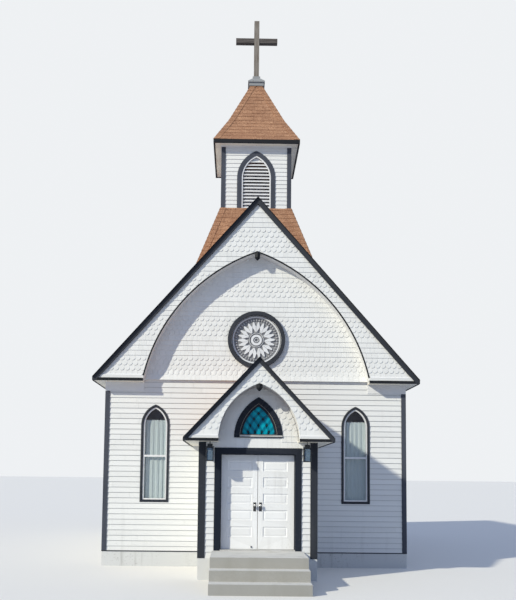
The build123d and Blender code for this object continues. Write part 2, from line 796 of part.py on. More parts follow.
def handle(face, outward):
    """Plate and knob on one face of the right-hand leaf."""
    plate_face = face + outward * HANDLE_PLATE_THICK
    x = MEETING_GAP / 2 + HANDLE_INSET
    plate = block(x - HANDLE_PLATE_WIDTH / 2, x + HANDLE_PLATE_WIDTH / 2, min(face, plate_face),
                  max(face, plate_face), HANDLE_LEVEL - HANDLE_PLATE_HEIGHT / 2,
                  HANDLE_LEVEL + HANDLE_PLATE_HEIGHT / 2)
    neck_end = face + outward * KNOB_REACH
    neck = block(x - KNOB_NECK, x + KNOB_NECK, min(face, neck_end), max(face, neck_end),
                 HANDLE_LEVEL - KNOB_NECK, HANDLE_LEVEL + KNOB_NECK)
    knob = Pos(x, face + outward * (KNOB_REACH + KNOB_THICK / 2), HANDLE_LEVEL) * Rot(90, 0, 0) \
        * Cylinder(KNOB_RADIUS, KNOB_THICK)
    return plate + neck + knob


def hinge_levels():
    """Middles of the hinges along a jamb."""
    low = FLOOR_LEVEL + HINGE_END
    step = (DOORWAY_HEAD - HINGE_END - low) / (HINGES - 1)
    return [low + index * step for index in range(HINGES)]


def hinge_half(level, x0, x1):
    """A plate with its barrel on the right-hand pivot line."""
    plate = block(x0, x1, PORCH_INSIDE, PORCH_INSIDE + HINGE_PLATE_THICK, level - HINGE_KNUCKLE / 2,
                  level + HINGE_KNUCKLE / 2)
    return plate + Pos(DOORWAY_HALF, DOOR_HINGE_Y, level) * Cylinder(HINGE_RADIUS, HINGE_KNUCKLE)


def frame_hinges():
    """The jamb's half of each right-hand hinge: the lower barrel on a plate."""
    drop = (HINGE_KNUCKLE + HINGE_BREAK) / 2
    return [hinge_half(level - drop, DOORWAY_HALF, DOORWAY_HALF + HINGE_PLATE) for level in hinge_levels()]


def leaf_hinges():
    """The leaf's half of each right-hand hinge: the upper barrel on a strap."""
    rise = (HINGE_KNUCKLE + HINGE_BREAK) / 2
    return [hinge_half(level + rise, DOORWAY_HALF - 2 * HINGE_PLATE, DOORWAY_HALF)
            for level in hinge_levels()]


def door_fittings():
    """Handles and hinge straps that turn with the right-hand leaf."""
    return [handle(PORCH_INSIDE - LEAF, -1), handle(PORCH_INSIDE, 1)] + leaf_hinges()


def lantern():
    """Right-hand lantern: an open cage under a small hood, hung from the soffit by a short stem."""
    half = LANTERN_WIDTH / 2
    top = LANTERN_BOTTOM + LANTERN_HEIGHT
    bar = LANTERN_BAR
    cage = block(-half, half, -half, half, LANTERN_BOTTOM, top)
    cage -= block(-half + bar, half - bar, -half - 1, half + 1, LANTERN_BOTTOM + bar, top - bar)
    cage -= block(-half - 1, half + 1, -half + bar, half - bar, LANTERN_BOTTOM + bar, top - bar)
    hood_half = LANTERN_HOOD_WIDTH / 2
    hood_top = top + LANTERN_HOOD_HEIGHT
    hood = block(-hood_half, hood_half, -hood_half, hood_half, top, hood_top)
    stem = block(-bar / 2, bar / 2, -bar / 2, bar / 2, hood_top, PORCH.soffit)
    return Pos(LANTERN_X, PORCH_FRONT - LANTERN_FORWARD, 0) * (cage + hood + stem)


def lantern_glass():
    """Glass box inside the right-hand lantern's cage."""
    half = LANTERN_WIDTH / 2 - LANTERN_BAR - FIT
    box = block(-half, half, -half, half, LANTERN_BOTTOM + LANTERN_BAR,
                LANTERN_BOTTOM + LANTERN_HEIGHT - LANTERN_BAR)
    return Pos(LANTERN_X, PORCH_FRONT - LANTERN_FORWARD, 0) * box


# Rose window

def rose_frame():
    """Dark ring of the rose window."""
    ring = Circle(ROSE_RADIUS) - Circle(ROSE_RADIUS - ROSE_BAND)
    return prism(Pos(0, ROSE_LEVEL) * ring, -ROSE_PROUD, FRAME_DEPTH)


def petal():
    """One pointed petal along +X: two arcs that meet at its root and tip."""
    middle = (PETAL_ROOT + PETAL_TIP) / 2
    upper = ThreePointArc((PETAL_ROOT, 0), (middle, PETAL_HALF), (PETAL_TIP, 0))
    lower = ThreePointArc((PETAL_TIP, 0), (middle, -PETAL_HALF), (PETAL_ROOT, 0))
    return make_face(upper + lower)


def rose_tracery():
    """White rosette: a hub and a rim joined by pointed petals on thin spokes."""
    rim = ROSE_RADIUS - ROSE_BAND - FIT
    shape = Circle(rim) - Circle(rim - ROSE_RIM)
    shape += Circle(ROSE_HUB)
    for index in range(ROSE_PETALS):
        turn = Rot(0, 0, 360 * index / ROSE_PETALS)
        shape += turn * petal()
        shape += turn * Pos((PETAL_TIP + rim) / 2 - SPOKE, 0) * Rectangle(rim - PETAL_TIP + SPOKE, SPOKE)
    return prism(Pos(0, ROSE_LEVEL) * shape, 0, TRACERY_DEPTH)


def rose_glass():
    """Dark sheet behind the rosette."""
    disc = Circle(ROSE_RADIUS - ROSE_BAND - FIT)
    return prism(Pos(0, ROSE_LEVEL) * disc, TRACERY_DEPTH, TRACERY_DEPTH + GLASS)


# Belfry

def square_form(*breaks):
    """A form square in plan about the belfry's axis, from its breaks (half width, level)."""
    return Pos(0, TOWER_MIDDLE, 0) * faceted(4, *breaks)


def below_roof():
    """Everything under the upper surface of the nave's roof."""
    reach = MAIN.eave_half
    outline = polygon((0, MAIN.ridge), (reach, MAIN.top(reach)), (reach, 0), (-reach, 0),
                      (-reach, MAIN.top(reach)))
    return prism(outline, MAIN.face, MAIN.back)


def skirt_form(inset):
    """Battered form below the belfry walls, drawn in by an inset."""
    low = MAIN.soffit
    spread = (TOWER_BOTTOM - low) / SKIRT_RISE_PER_RUN
    top_half = TOWER_HALF + SKIRT_LIP - inset
    return square_form((top_half + spread, low), (top_half, TOWER_BOTTOM))


def tower_sides():
    """Turns from the front face to the four faces of the belfry."""
    return [Pos(0, TOWER_MIDDLE, 0) * Rot(0, 0, 90 * index) for index in range(4)]


def tower_skirt():
    """Shingled skirt that spreads from the belfry down to the roof, mitred into four."""
    shell = skirt_form(0) - skirt_form(SKIRT_THICK) - below_roof()
    shell -= square_form((TOWER_HALF, MAIN.soffit), (TOWER_HALF, TOWER_BOTTOM))
    reach = MAIN.eave_half
    quarter = extrude(polygon((0, 0), (-reach, -reach), (reach, -reach)), amount=CROSS_TOP, dir=(0, 0, 1))
    return [shell & side * quarter for side in tower_sides()]


def louvre_outline(inset, fit=0):
    """Pointed outline of a belfry opening, down to the head of the skirt."""
    return pointed(LOUVRE_HALF + fit, LOUVRE_RADIUS + fit, LOUVRE_SPRING, TOWER_BOTTOM - fit, inset)


def tower_wall(half):
    """Front wall of the belfry, out to a half width, with its pointed hole."""
    front = -TOWER_HALF
    wall = block(-half, half, front, front + TOWER_WALL, MAIN.soffit, SPIRE_BASE)
    return wall - prism(louvre_outline(0, FIT), front - TOWER_WALL, front + 2 * TOWER_WALL)


def tower_walls():
    """Four belfry walls standing on the roof, the side walls fitted between the others."""
    halves = (TOWER_HALF, TOWER_HALF - TOWER_WALL) * 2
    return [side * tower_wall(half) - below_roof() for side, half in zip(tower_sides(), halves)]


def louvre_frame():
    """Pointed frame on the front face: a wide front band over the rebate that houses the slats."""
    face = -TOWER_HALF
    band = prism(louvre_outline(0) - louvre_outline(LOUVRE_FRAME), face - TRIM_PROUD, face)
    rebate = prism(louvre_outline(0) - louvre_outline(LOUVRE_HOUSING), face, face + TOWER_WALL)
    return band + rebate


def louvre_bead():
    """Thin bead inside the front face's band."""
    outer = louvre_outline(LOUVRE_FRAME + FIT)
    ring = outer - louvre_outline(LOUVRE_FRAME + LOUVRE_BEAD)
    return prism(ring, -TOWER_HALF - LOUVRE_BEAD_PROUD, -TOWER_HALF)


def louvre_span(level):
    """Half width between the housings at a level."""
    centre = LOUVRE_HALF - LOUVRE_RADIUS
    rise = max(0, level - LOUVRE_SPRING)
    return centre + sqrt((LOUVRE_RADIUS - LOUVRE_HOUSING) ** 2 - rise ** 2) - FIT


def louvre_slats():
    """Sloping slats let into the housings of the front face's frame."""
    front = TOWER_HALF
    back = front - LOUVRE_SLOPE_DEPTH
    low = TOWER_BOTTOM + LOUVRE_SLAT
    reach = LOUVRE_RADIUS - LOUVRE_FRAME
    high = LOUVRE_SPRING + sqrt(reach ** 2 - (LOUVRE_RADIUS - LOUVRE_HALF) ** 2)
    slats = []
    for index in range(int((high - low) / LOUVRE_PITCH)):
        level = low + index * LOUVRE_PITCH
        top = level + LOUVRE_DROP + LOUVRE_SLAT
        outline = polygon((front, level), (front, level + LOUVRE_SLAT), (back, top),
                          (back, top - LOUVRE_SLAT))
        slats.append(strip(outline, louvre_span(top)))
    return slats


def tower_soffit():
    """Level soffit round the belfry."""
    outer = SPIRE_HALF - FASCIA
    top = TOWER_SOFFIT + SOFFIT
    return square_form((outer, TOWER_SOFFIT), (outer, top)) \
        - square_form((TOWER_HALF, TOWER_SOFFIT), (TOWER_HALF, top))


def tower_fascia():
    """Fascia round the belfry's eave."""
    inner = SPIRE_HALF - FASCIA
    return square_form((SPIRE_HALF, TOWER_SOFFIT), (SPIRE_HALF, SPIRE_BASE)) \
        - square_form((inner, TOWER_SOFFIT), (inner, SPIRE_BASE))


def spire():
    """Hollow flared roof in two pitches, closed below."""
    inside = SPIRE_KINK_HALF - SPIRE_SHELL
    roof = square_form((SPIRE_HALF, SPIRE_BASE), (SPIRE_KINK_HALF, SPIRE_KINK), (SPIRE_TOP_HALF, SPIRE_TOP))
    return roof - square_form((SPIRE_HALF - 2 * SPIRE_SHELL, SPIRE_BASE + SOFFIT), (inside, SPIRE_KINK),
                              (SPIRE_TOP_HALF - SPIRE_SHELL, SPIRE_TOP - SPIRE_SHELL))


def tower_cap():
    """Moulded square cap with the collar that holds the cross."""
    slab = SPIRE_TOP + CAP_BODY
    slope = slab + CAP_SLAB
    return square_form((CAP_BODY_HALF, SPIRE_TOP), (CAP_BODY_HALF, slab), (CAP_HALF, slab),
                       (CAP_HALF, slope), (CAP_NECK_HALF, COLLAR_LEVEL), (COLLAR_HALF, COLLAR_LEVEL),
                       (COLLAR_HALF, CROSS_FOOT))


def cross():
    """Timber cross: a post with its arm let in."""
    half = CROSS_POST / 2
    post = block(-half, half, -half, half, CROSS_FOOT, CROSS_TOP)
    arm_front = -half + CROSS_ARM_SETBACK
    arm_level = CROSS_FOOT + CROSS_ARM_HEIGHT
    arm = block(-CROSS_SPAN / 2, CROSS_SPAN / 2, arm_front, arm_front + CROSS_ARM,
                arm_level - CROSS_ARM / 2, arm_level + CROSS_ARM / 2)
    return Pos(0, TOWER_MIDDLE, 0) * (post + arm)


def build():
    """Write every node."""
    os.makedirs("parts", exist_ok=True)
    write("foundation", foundation())
    write("landing_step", landing())
    write("lower_steps", *lower_treads())
    write("nave_floor", nave_floor())
    write("porch_floor", porch_floor())

    write("front_wall_left", flip(front_wall_side()))
    write("front_wall_right", front_wall_side())
    write("front_wall_gable", front_wall_gable() + gable_flare())
    write("nave_side_walls", *both(side_wall()))
    write("rear_wall", rear_wall())
    write("corner_boards", *nave_corner_boards(), *porch_corner_boards(), *tower_corner_boards())
    write("frieze_boards", *frieze_boards(), bed_mould())

    write("window_frames", *[place * lancet_frame() for place in all_places()])
    write("window_sashes", *[place * lancet_sash() for place in all_places()])
    write("window_glass", rose_glass(), *[place * lancet_glass() for place in all_places()])
    write("curtains", *[place * curtain() for place in front_places()])
    write("rose_frame", rose_frame())
    write("rose_tracery", rose_tracery())

    write("nave_roof_left", flip(roof_slope(MAIN)))
    write("nave_roof_right", roof_slope(MAIN))
    write("ridge_cap", ridge_cap())
    screen_parts = [screen(MAIN), screen_lip(MAIN), arch_lining(MAIN)]
    write("gable_screen_left", *[flip(piece) for piece in screen_parts])
    write("gable_screen_right", *screen_parts)
    write("gable_arch_edge", *both(arch_edge(MAIN)))
    write("arch_pendants", pendant(MAIN), pendant(PORCH))
    front_rakes = [rake_board(g, g.face - RAKE, g.face) for g in (MAIN, PORCH)]
    rakes = front_rakes + [rake_board(MAIN, MAIN.back, MAIN.back + RAKE)]
    write("rake_boards", *[piece for board in rakes for piece in both(board)])
    write("eave_soffits", *both(soffits(MAIN) + eave_end()), *both(soffits(PORCH)), tower_soffit())
    write("eave_fascias", *[piece for g in (MAIN, PORCH) for board in fascias(g) for piece in both(board)])

    write("porch_side_walls", *both(porch_side_wall()))
    write("porch_front_sides", *both(porch_front_side()))
    write("porch_front_gable", porch_front_gable())
    write("porch_roof_left", flip(roof_slope(PORCH)))
    write("porch_roof_right", roof_slope(PORCH))
    write("porch_screen_left", flip(screen(PORCH)), flip(screen_lip(PORCH)))
    write("porch_screen_right", screen(PORCH), screen_lip(PORCH))
    write("transom_frame", transom_frame())
    write("transom_glass", transom_glass())
    write("door_frame", door_frame())
    write("door_sill", door_sill())
    write("door_hinges", *[piece for half in frame_hinges() for piece in both(half)])
    write("left_door_leaf", flip(door_leaf()))
    write("right_door_leaf", door_leaf())
    write("left_door_fittings", *[flip(piece) for piece in door_fittings()])
    write("right_door_fittings", *door_fittings())
    write("lanterns", *both(lantern()), *both(lantern_glass()))

    write("tower_skirt", *tower_skirt())
    write("tower_walls", *tower_walls())
    write("louvre_frames", *[side * louvre_frame() for side in tower_sides()])
    slats = [louvre_bead()] + louvre_slats()
    write("louvre_slats", *[side * piece for side in tower_sides() for piece in slats])
    write("tower_fascia", tower_fascia())
    write("tower_roof", spire())
    write("tower_cap", tower_cap())
    write("cross", cross())


build()
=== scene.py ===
import bmesh
import bpy
import random
from math import acos, ceil, cos, hypot, pi, radians, sin, sqrt
from mathutils import Matrix, Vector


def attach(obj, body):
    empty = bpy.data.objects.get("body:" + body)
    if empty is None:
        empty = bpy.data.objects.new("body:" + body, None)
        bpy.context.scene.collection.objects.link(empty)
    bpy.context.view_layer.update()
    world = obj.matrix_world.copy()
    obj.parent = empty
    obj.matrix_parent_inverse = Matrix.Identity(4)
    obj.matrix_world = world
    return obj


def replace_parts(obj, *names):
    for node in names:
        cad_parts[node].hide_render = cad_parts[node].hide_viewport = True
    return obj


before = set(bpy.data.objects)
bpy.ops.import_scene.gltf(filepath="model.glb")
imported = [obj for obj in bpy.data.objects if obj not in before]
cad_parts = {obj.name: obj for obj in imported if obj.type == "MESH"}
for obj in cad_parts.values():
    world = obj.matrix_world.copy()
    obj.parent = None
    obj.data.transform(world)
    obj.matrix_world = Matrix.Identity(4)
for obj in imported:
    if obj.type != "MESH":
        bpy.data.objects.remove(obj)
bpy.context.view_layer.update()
chance = random.Random(7)

# The foundation: a poured concrete plinth under the nave and the vestibule, painted off-white like the
# walls. A thin dark drip strip is nailed along its top, under the first clapboard.

EVEN = (1, 1, 1)
WHITE = (0.80, 0.80, 0.79, 1)
RAIN_GREY = (0.50, 0.50, 0.49, 1)
CHARCOAL = (0.032, 0.036, 0.046, 1)
DUST = (0.10, 0.10, 0.11, 1)
DULLEST = 0.9
DRIP_HEIGHT = 0.022
DRIP_PROUD = 0.03
PLINTH_TOP = 0.35
NAVE_HALF = 3.7
NAVE_LENGTH = 11.0
PORCH_HALF = 1.25
PORCH_FRONT = -2.3


def feed(node, feeds):
    """Give a shader node's sockets values or links, by name or number."""
    for socket, value in feeds.items():
        if isinstance(value, bpy.types.NodeSocket):
            node.id_data.links.new(value, node.inputs[socket])
        else:
            node.inputs[socket].default_value = value
    return node.outputs


def add(tree, kind, feeds, **settings):
    """Add a shader node, feed it and give back its outputs."""
    node = tree.nodes.new("ShaderNode" + kind)
    for setting, value in settings.items():
        setattr(node, setting, value)
    return feed(node, feeds)


def reckon(tree, way, *values):
    """One step of arithmetic on masks."""
    return add(tree, "Math", dict(enumerate(values)), operation=way)[0]


def between(tree, factor, low, high):
    """A colour between two others."""
    return add(tree, "Mix", {0: factor, 6: low, 7: high}, data_type="RGBA")[2]


def ramp(tree, value, start, end, low=0.0, high=1.0, way="LINEAR"):
    """A value carried over from one range to another."""
    feeds = {"Value": value, "From Min": start, "From Max": end, "To Min": low, "To Max": high}
    return add(tree, "MapRange", feeds, interpolation_type=way)["Result"]


def whereabouts(tree):
    """A point in the object's own coordinates."""
    return add(tree, "TexCoord", {})["Object"]


def spots(tree, stretch, size, detail, low, high):
    """A mask from 0 to 1 of soft spots, stretched for marks that run one way."""
    moved = add(tree, "Mapping", {"Vector": whereabouts(tree), "Scale": stretch})["Vector"]
    noise = add(tree, "TexNoise", {"Vector": moved, "Scale": size, "Detail": detail})
    return ramp(tree, noise["Fac"], low, high, way="SMOOTHSTEP")


def start_effect(name, values, results):
    """A shader node group with named colours (c) and numbers (f), and its two ends."""
    tree = bpy.data.node_groups.new(name, "ShaderNodeTree")
    kinds = {"c": "NodeSocketColor", "f": "NodeSocketFloat"}
    for way, sockets in (("INPUT", values), ("OUTPUT", results)):
        for label, kind in sockets.items():
            tree.interface.new_socket(label, in_out=way, socket_type=kinds[kind])
    return tree, tree.nodes.new("NodeGroupInput").outputs, tree.nodes.new("NodeGroupOutput")


def effect_weathering():
    """Rain streaks and grime over a painted surface, with a little texture from the brush."""
    tree, given, found = start_effect("weathering", dict(Paint="c", Grime="c", Amount="f", Board="f"),
                                      dict(Colour="c", Dull="f", Height="f"))
    patches = spots(tree, EVEN, 0.8, 5, 0.42, 0.68)
    streaks = reckon(tree, "MULTIPLY", spots(tree, (7, 7, 0.6), 1.0, 6, 0.5, 0.78), patches)
    specks = reckon(tree, "MULTIPLY", spots(tree, EVEN, 26, 4, 0.55, 0.75), patches)
    dirty = reckon(tree, "MULTIPLY", reckon(tree, "MAXIMUM", streaks, specks), given["Amount"])
    board = between(tree, ramp(tree, given["Board"], 0, 1, 0, 0.16), given["Paint"], given["Grime"])
    feed(found, {"Colour": between(tree, dirty, board, given["Grime"]), "Dull": dirty,
                 "Height": spots(tree, (1, 1, 2.5), 55, 3, 0.3, 0.7)})
    return tree


weathering = effect_weathering()


def start_material(name, gloss, shine=0.5):
    """A material with its shader's roughness and gloss set."""
    material = bpy.data.materials.new(name)
    material.use_nodes = True
    shader = material.node_tree.nodes["Principled BSDF"]
    feed(shader, {"Roughness": gloss, "Specular IOR Level": shine})
    return material, material.node_tree, shader


def raise_surface(tree, shader, height, distance, strength=0.5):
    """Bump from a height."""
    bump = add(tree, "Bump", {"Height": height, "Distance": distance, "Strength": strength})
    feed(shader, {"Normal": bump["Normal"]})


def paint(name, colour, grime, amount, gloss, distance=0.0015, shine=0.25):
    """A brushed paint finish that shifts a little from board to board and carries rain marks."""
    material, tree, shader = start_material(name, gloss, shine)
    board = add(tree, "NewGeometry", {})["Random Per Island"]
    coat = add(tree, "Group", {"Paint": colour, "Grime": grime, "Amount": amount, "Board": board},
               node_tree=weathering)
    feed(shader, {"Base Color": coat["Colour"],
                  "Roughness": ramp(tree, coat["Dull"], 0, 1, gloss, DULLEST)})
    raise_surface(tree, shader, coat["Height"], distance)
    return material


def dress(material, *nodes):
    """Give carried-over solids a finish."""
    for node in nodes:
        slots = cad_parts[node].data.materials
        slots.clear()
        slots.append(material)


def make_piece(name, shape, material, body="building", smooth=False):
    """One mesh, from its corners and faces, that rides on a body."""
    mesh = bpy.data.meshes.new(name)
    mesh.from_pydata(shape[0], [], shape[1])
    work = bmesh.new()
    work.from_mesh(mesh)
    bmesh.ops.recalc_face_normals(work, faces=work.faces)
    work.to_mesh(mesh)
    work.free()
    if smooth:
        mesh.shade_smooth()
    mesh.materials.append(material)
    piece = bpy.data.objects.new(name, mesh)
    bpy.context.scene.collection.objects.link(piece)
    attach(piece, body)
    return piece


def skin(shape, loops, around=False, back=False, front=False):
    """Quads from loop to loop, with the last joined to the first or the ends capped where asked."""
    corners, faces = shape
    start, count = len(corners), len(loops[0])
    for loop in loops:
        corners.extend(tuple(point) for point in loop)
    if back:
        faces.append(tuple(range(start + count - 1, start - 1, -1)))
    if front:
        faces.append(tuple(range(len(corners) - count, len(corners))))
    for level in range(len(loops) if around else len(loops) - 1):
        here, there = start + level * count, start + (level + 1) % len(loops) * count
        for index in range(count):
            after = (index + 1) % count
            faces.append((here + index, here + after, there + after, there + index))


def solid(shape, back, front):
    """A closed solid between two loops."""
    skin(shape, [back, front], back=True, front=True)


def slab(shape, place, outline, near, far):
    """A closed solid of one outline, from one distance out of a surface to another."""
    solid(shape, [place(u, v, near) for u, v in outline], [place(u, v, far) for u, v in outline])


def upright(x, y, z):
    """Places an outline on the ground plan."""
    return (x, y, z)


def bar(shape, x0, x1, y0, y1, z0, z1):
    """A straight bar between two corners."""
    slab(shape, upright, ((x0, y0), (x1, y0), (x1, y1), (x0, y1)), z0, z1)


dress(paint("plinth_paint", (0.70, 0.70, 0.69, 1), (0.36, 0.35, 0.33, 1), 0.7, 0.75, 0.004), "foundation")
dark_paint = paint("charcoal_paint", CHARCOAL, DUST, 0.35, 0.5, shine=0.12)
strip = ([], [])
levels = (PLINTH_TOP, PLINTH_TOP + DRIP_HEIGHT)
for side in (-1, 1):
    edge = side * NAVE_HALF
    out = edge + side * DRIP_PROUD
    bar(strip, edge, out, 0, NAVE_LENGTH, *levels)
    bar(strip, side * (PORCH_HALF + DRIP_PROUD), out, -DRIP_PROUD, 0, *levels)
bar(strip, -NAVE_HALF, NAVE_HALF, NAVE_LENGTH, NAVE_LENGTH + DRIP_PROUD, *levels)
make_piece("drip_strip", strip, dark_paint)

# The steps: a landing and two treads of cast concrete, left grey, with soft damp stains. Their tops are
# paler than the risers: partly wear on the walking surface, partly painted light falling from above.


def effect_granules():
    """A mineral surface: fine grains of three colours under larger clouds."""
    tree, given, found = start_effect("granules", dict(Middle="c", Dark="c", Pale="c", Fineness="f"),
                                      dict(Colour="c", Height="f"))
    feeds = {"Vector": whereabouts(tree), "Scale": given["Fineness"], "Detail": 3}
    grain = add(tree, "TexNoise", feeds)["Fac"]
    base = between(tree, ramp(tree, grain, 0.50, 0.36), given["Middle"], given["Dark"])
    base = between(tree, ramp(tree, grain, 0.54, 0.68), base, given["Pale"])
    shade = reckon(tree, "MULTIPLY", spots(tree, EVEN, 1.7, 5, 0.35, 0.7), 0.3)
    feed(found, {"Colour": between(tree, shade, base, given["Dark"]), "Height": grain})
    return tree


granules = effect_granules()
concrete, tree, shader = start_material("cast_concrete", DULLEST)
coat = add(tree, "Group", {"Middle": (0.37, 0.36, 0.335, 1), "Dark": (0.30, 0.29, 0.26, 1),
                           "Pale": (0.43, 0.42, 0.39, 1), "Fineness": 150.0}, node_tree=granules)
damp = spots(tree, (3, 3, 0.5), 1.0, 6, 0.45, 0.8)
colour = between(tree, reckon(tree, "MULTIPLY", damp, 0.4), coat["Colour"], (0.27, 0.26, 0.22, 1))
# Upward faces are paler: partly wear, partly painted light from above.
upward = add(tree, "SeparateXYZ", {0: add(tree, "NewGeometry", {})["Normal"]})["Z"]
worn_and_lit_tops = reckon(tree, "MULTIPLY", ramp(tree, upward, 0.6, 0.9), ramp(tree, damp, 0, 1, 0.9, 0.5))
feed(shader, {"Base Color": between(tree, worn_and_lit_tops, colour, (0.63, 0.62, 0.60, 1))})
raise_surface(tree, shader, coat["Height"], 0.003)
dress(concrete, "landing_step", "lower_steps")

# The floors: varnished narrow boards over joists, running the length of the nave and of the vestibule.
# Their joints are staggered.


def planks(tree, where, pale, deep, joint, gap, length, width):
    """Boards side by side in two shades, with a dark line at each joint."""
    return add(tree, "TexBrick", {"Vector": where, "Color1": pale, "Color2": deep, "Mortar": joint,
                                  "Scale": 1.0, "Mortar Size": gap, "Brick Width": length,
                                  "Row Height": width})["Color"]


varnished, tree, shader = start_material("floor_boards", 0.4)
turned = add(tree, "Mapping", {"Vector": whereabouts(tree), "Rotation": (0, 0, pi / 2)})["Vector"]
colour = planks(tree, turned, (0.33, 0.20, 0.11, 1), (0.25, 0.15, 0.08, 1), (0.05, 0.03, 0.02, 1), 0.002,
                2.4, 0.085)
streaks = reckon(tree, "MULTIPLY", spots(tree, (40, 1.5, 40), 1.0, 5, 0.35, 0.7), 0.5)
feed(shader, {"Base Color": between(tree, streaks, colour, (0.13, 0.07, 0.035, 1))})
dress(varnished, "nave_floor", "porch_floor")

# The nave's walls: tapered pine clapboards, each nailed with its butt over the head of the one below and
# painted white. They stop behind the corner boards, the window frames and the frieze.

EXPOSURE = 0.13
BUTT = 0.019
TIP = 0.004
JOINT = 0.0015
BOARD_LENGTHS = (2.6, 4.2)
BOARD_REACH = 20
STOP_CLEARANCE = 0.002
NUDGE = 0.0005
SLIVER = 0.01
LAP_DROP = 0.001
SOFFIT_LEVEL = 4.5
SCREEN_FOOT = 4.565
LANCET_HALF = 0.35
LANCET_RADIUS = 0.547
LANCET_SILL = 1.55
LANCET_SPRING = 3.4397
LANCET = (LANCET_HALF, LANCET_RADIUS, LANCET_SILL, LANCET_SPRING)
LANCET_X = 2.475
BAYS = [NAVE_LENGTH * (bay + 0.5) / 3 for bay in range(3)]
HIDDEN_EDGE = 0.02
PORCH_RIDGE = 4.6998
PORCH_SLOPE = 1.0766
PORCH_DECK = 0.0647
siding_paint = paint("siding_paint", WHITE, RAIN_GREY, 0.3, 0.5)


def effect_lap_shade():
    """Painted shade, with a little dust, along each clapboard's head, under the butt of the board above."""
    tree, given, found = start_effect("lap_shade", dict(Coat="c", Foot="f", Exposure="f"), dict(Colour="c"))
    level = add(tree, "SeparateXYZ", {0: whereabouts(tree)})["Z"]
    courses = reckon(tree, "DIVIDE", reckon(tree, "SUBTRACT", level, given["Foot"]), given["Exposure"])
    lap_dust_and_shade = ramp(tree, reckon(tree, "FRACT", courses), 0.85, 0.97, 0, 0.55)
    feed(found, {"Colour": between(tree, lap_dust_and_shade, given["Coat"], (0.26, 0.27, 0.29, 1))})
    return tree


lap_shade = effect_lap_shade()


def clapboard_paint(name, foot):
    """The siding's paint, with a soft dark line of painted shade and dust at every lap."""
    material = paint(name, WHITE, RAIN_GREY, 0.3, 0.5)
    shader = material.node_tree.nodes["Principled BSDF"]
    coat = shader.inputs["Base Color"].links[0].from_socket
    lapped = add(material.node_tree, "Group",
                 {"Coat": coat, "Foot": foot - LAP_DROP, "Exposure": EXPOSURE}, node_tree=lap_shade)
    feed(shader, {"Base Color": lapped["Colour"]})
    return material


def pointed_half(level, half, radius, sill, spring):
    """Half width of a pointed opening at a level."""
    if level < sill:
        return 0
    rise = max(0, level - spring)
    return max(0, sqrt(max(0, radius ** 2 - rise ** 2)) - (radius - half))


def pointed_stops(half, radius, sill, spring):
    """Levels that follow a pointed opening closely enough."""
    rise = sqrt(radius ** 2 - (radius - half) ** 2)
    return [sill] + [spring + rise * share for share in (0, 0.3, 0.55, 0.75, 0.88, 0.96, 1)]


def inset(sizes, width):
    """A pointed opening's sizes, set in from its edge."""
    half, radius, sill, spring = sizes
    return half - width, radius - width, sill + width, spring


def without(spans, centre, half):
    """Stretches with one gap taken out."""
    left = []
    for start, end in spans:
        if half <= 0 or centre + half <= start or centre - half >= end:
            left.append((start, end))
            continue
        if centre - half > start:
            left.append((start, centre - half))
        if centre + half < end:
            left.append((centre + half, end))
    return left


def clapboards(shape, place, spans, stops, low, high, exposure=EXPOSURE):
    """Lapped boards up a wall: spans gives the stretches of wall at a level."""
    corners, faces = shape
    for course in range(ceil((high - low) / exposure - SLIVER)):
        foot = low + course * exposure
        head = min(foot + exposure, high)
        joints = [-BOARD_REACH]
        while joints[-1] < BOARD_REACH:
            joints.append(joints[-1] + chance.uniform(*BOARD_LENGTHS))
        inner = [stop for stop in sorted(stops) if foot + STOP_CLEARANCE < stop < head - STOP_CLEARANCE]
        levels = [foot] + inner + [head]
        for bottom, top in zip(levels, levels[1:]):
            lower, upper = spans(bottom + NUDGE), spans(top - NUDGE)
            if len(lower) != len(upper):
                lower = upper = spans((bottom + top) / 2)
            for joint in joints:
                lower, upper = without(lower, joint, JOINT), without(upper, joint, JOINT)
            if len(lower) != len(upper):
                lower = upper = spans((bottom + top) / 2)
            near, far = [BUTT - (BUTT - TIP) * (level - foot) / exposure for level in (bottom, top)]
            for (start, end), (upper_start, upper_end) in zip(lower, upper):
                first = len(corners)
                corners += [place(start, bottom, near), place(end, bottom, near),
                            place(upper_end, top, far), place(upper_start, top, far)]
                faces.append((first, first + 1, first + 2, first + 3))
                if bottom == foot:
                    corners += [place(start, foot, 0), place(end, foot, 0)]
                    faces.append((first + 4, first + 5, first + 1, first))


def end_wall(face, way=-1):
    """Maps across, level and out to a point on a wall that looks to the front, or to the rear."""
    return lambda across, level, out: (across, face + way * out, level)


def side_wall(side, half):
    """The same for a wall that looks to one side."""
    return lambda across, level, out: (side * (half + out), across, level)


def end_spans(level):
    """Clapboarded stretches of an end wall, with its two windows."""
    spans = [(-NAVE_HALF, NAVE_HALF)]
    for x in (-LANCET_X, LANCET_X):
        spans = without(spans, x, pointed_half(level, *inset(LANCET, HIDDEN_EDGE)))
    return spans


def front_spans(level):
    """The same for the front wall, less what lies inside the vestibule."""
    half = min(PORCH_HALF, max(0, (PORCH_RIDGE - PORCH_DECK - level) / PORCH_SLOPE))
    return without(end_spans(level), 0, half)


def side_spans(level):
    """Clapboarded stretches of a side wall, with its three windows."""
    spans = [(0, NAVE_LENGTH)]
    for bay in BAYS:
        spans = without(spans, bay, pointed_half(level, *inset(LANCET, HIDDEN_EDGE)))
    return spans


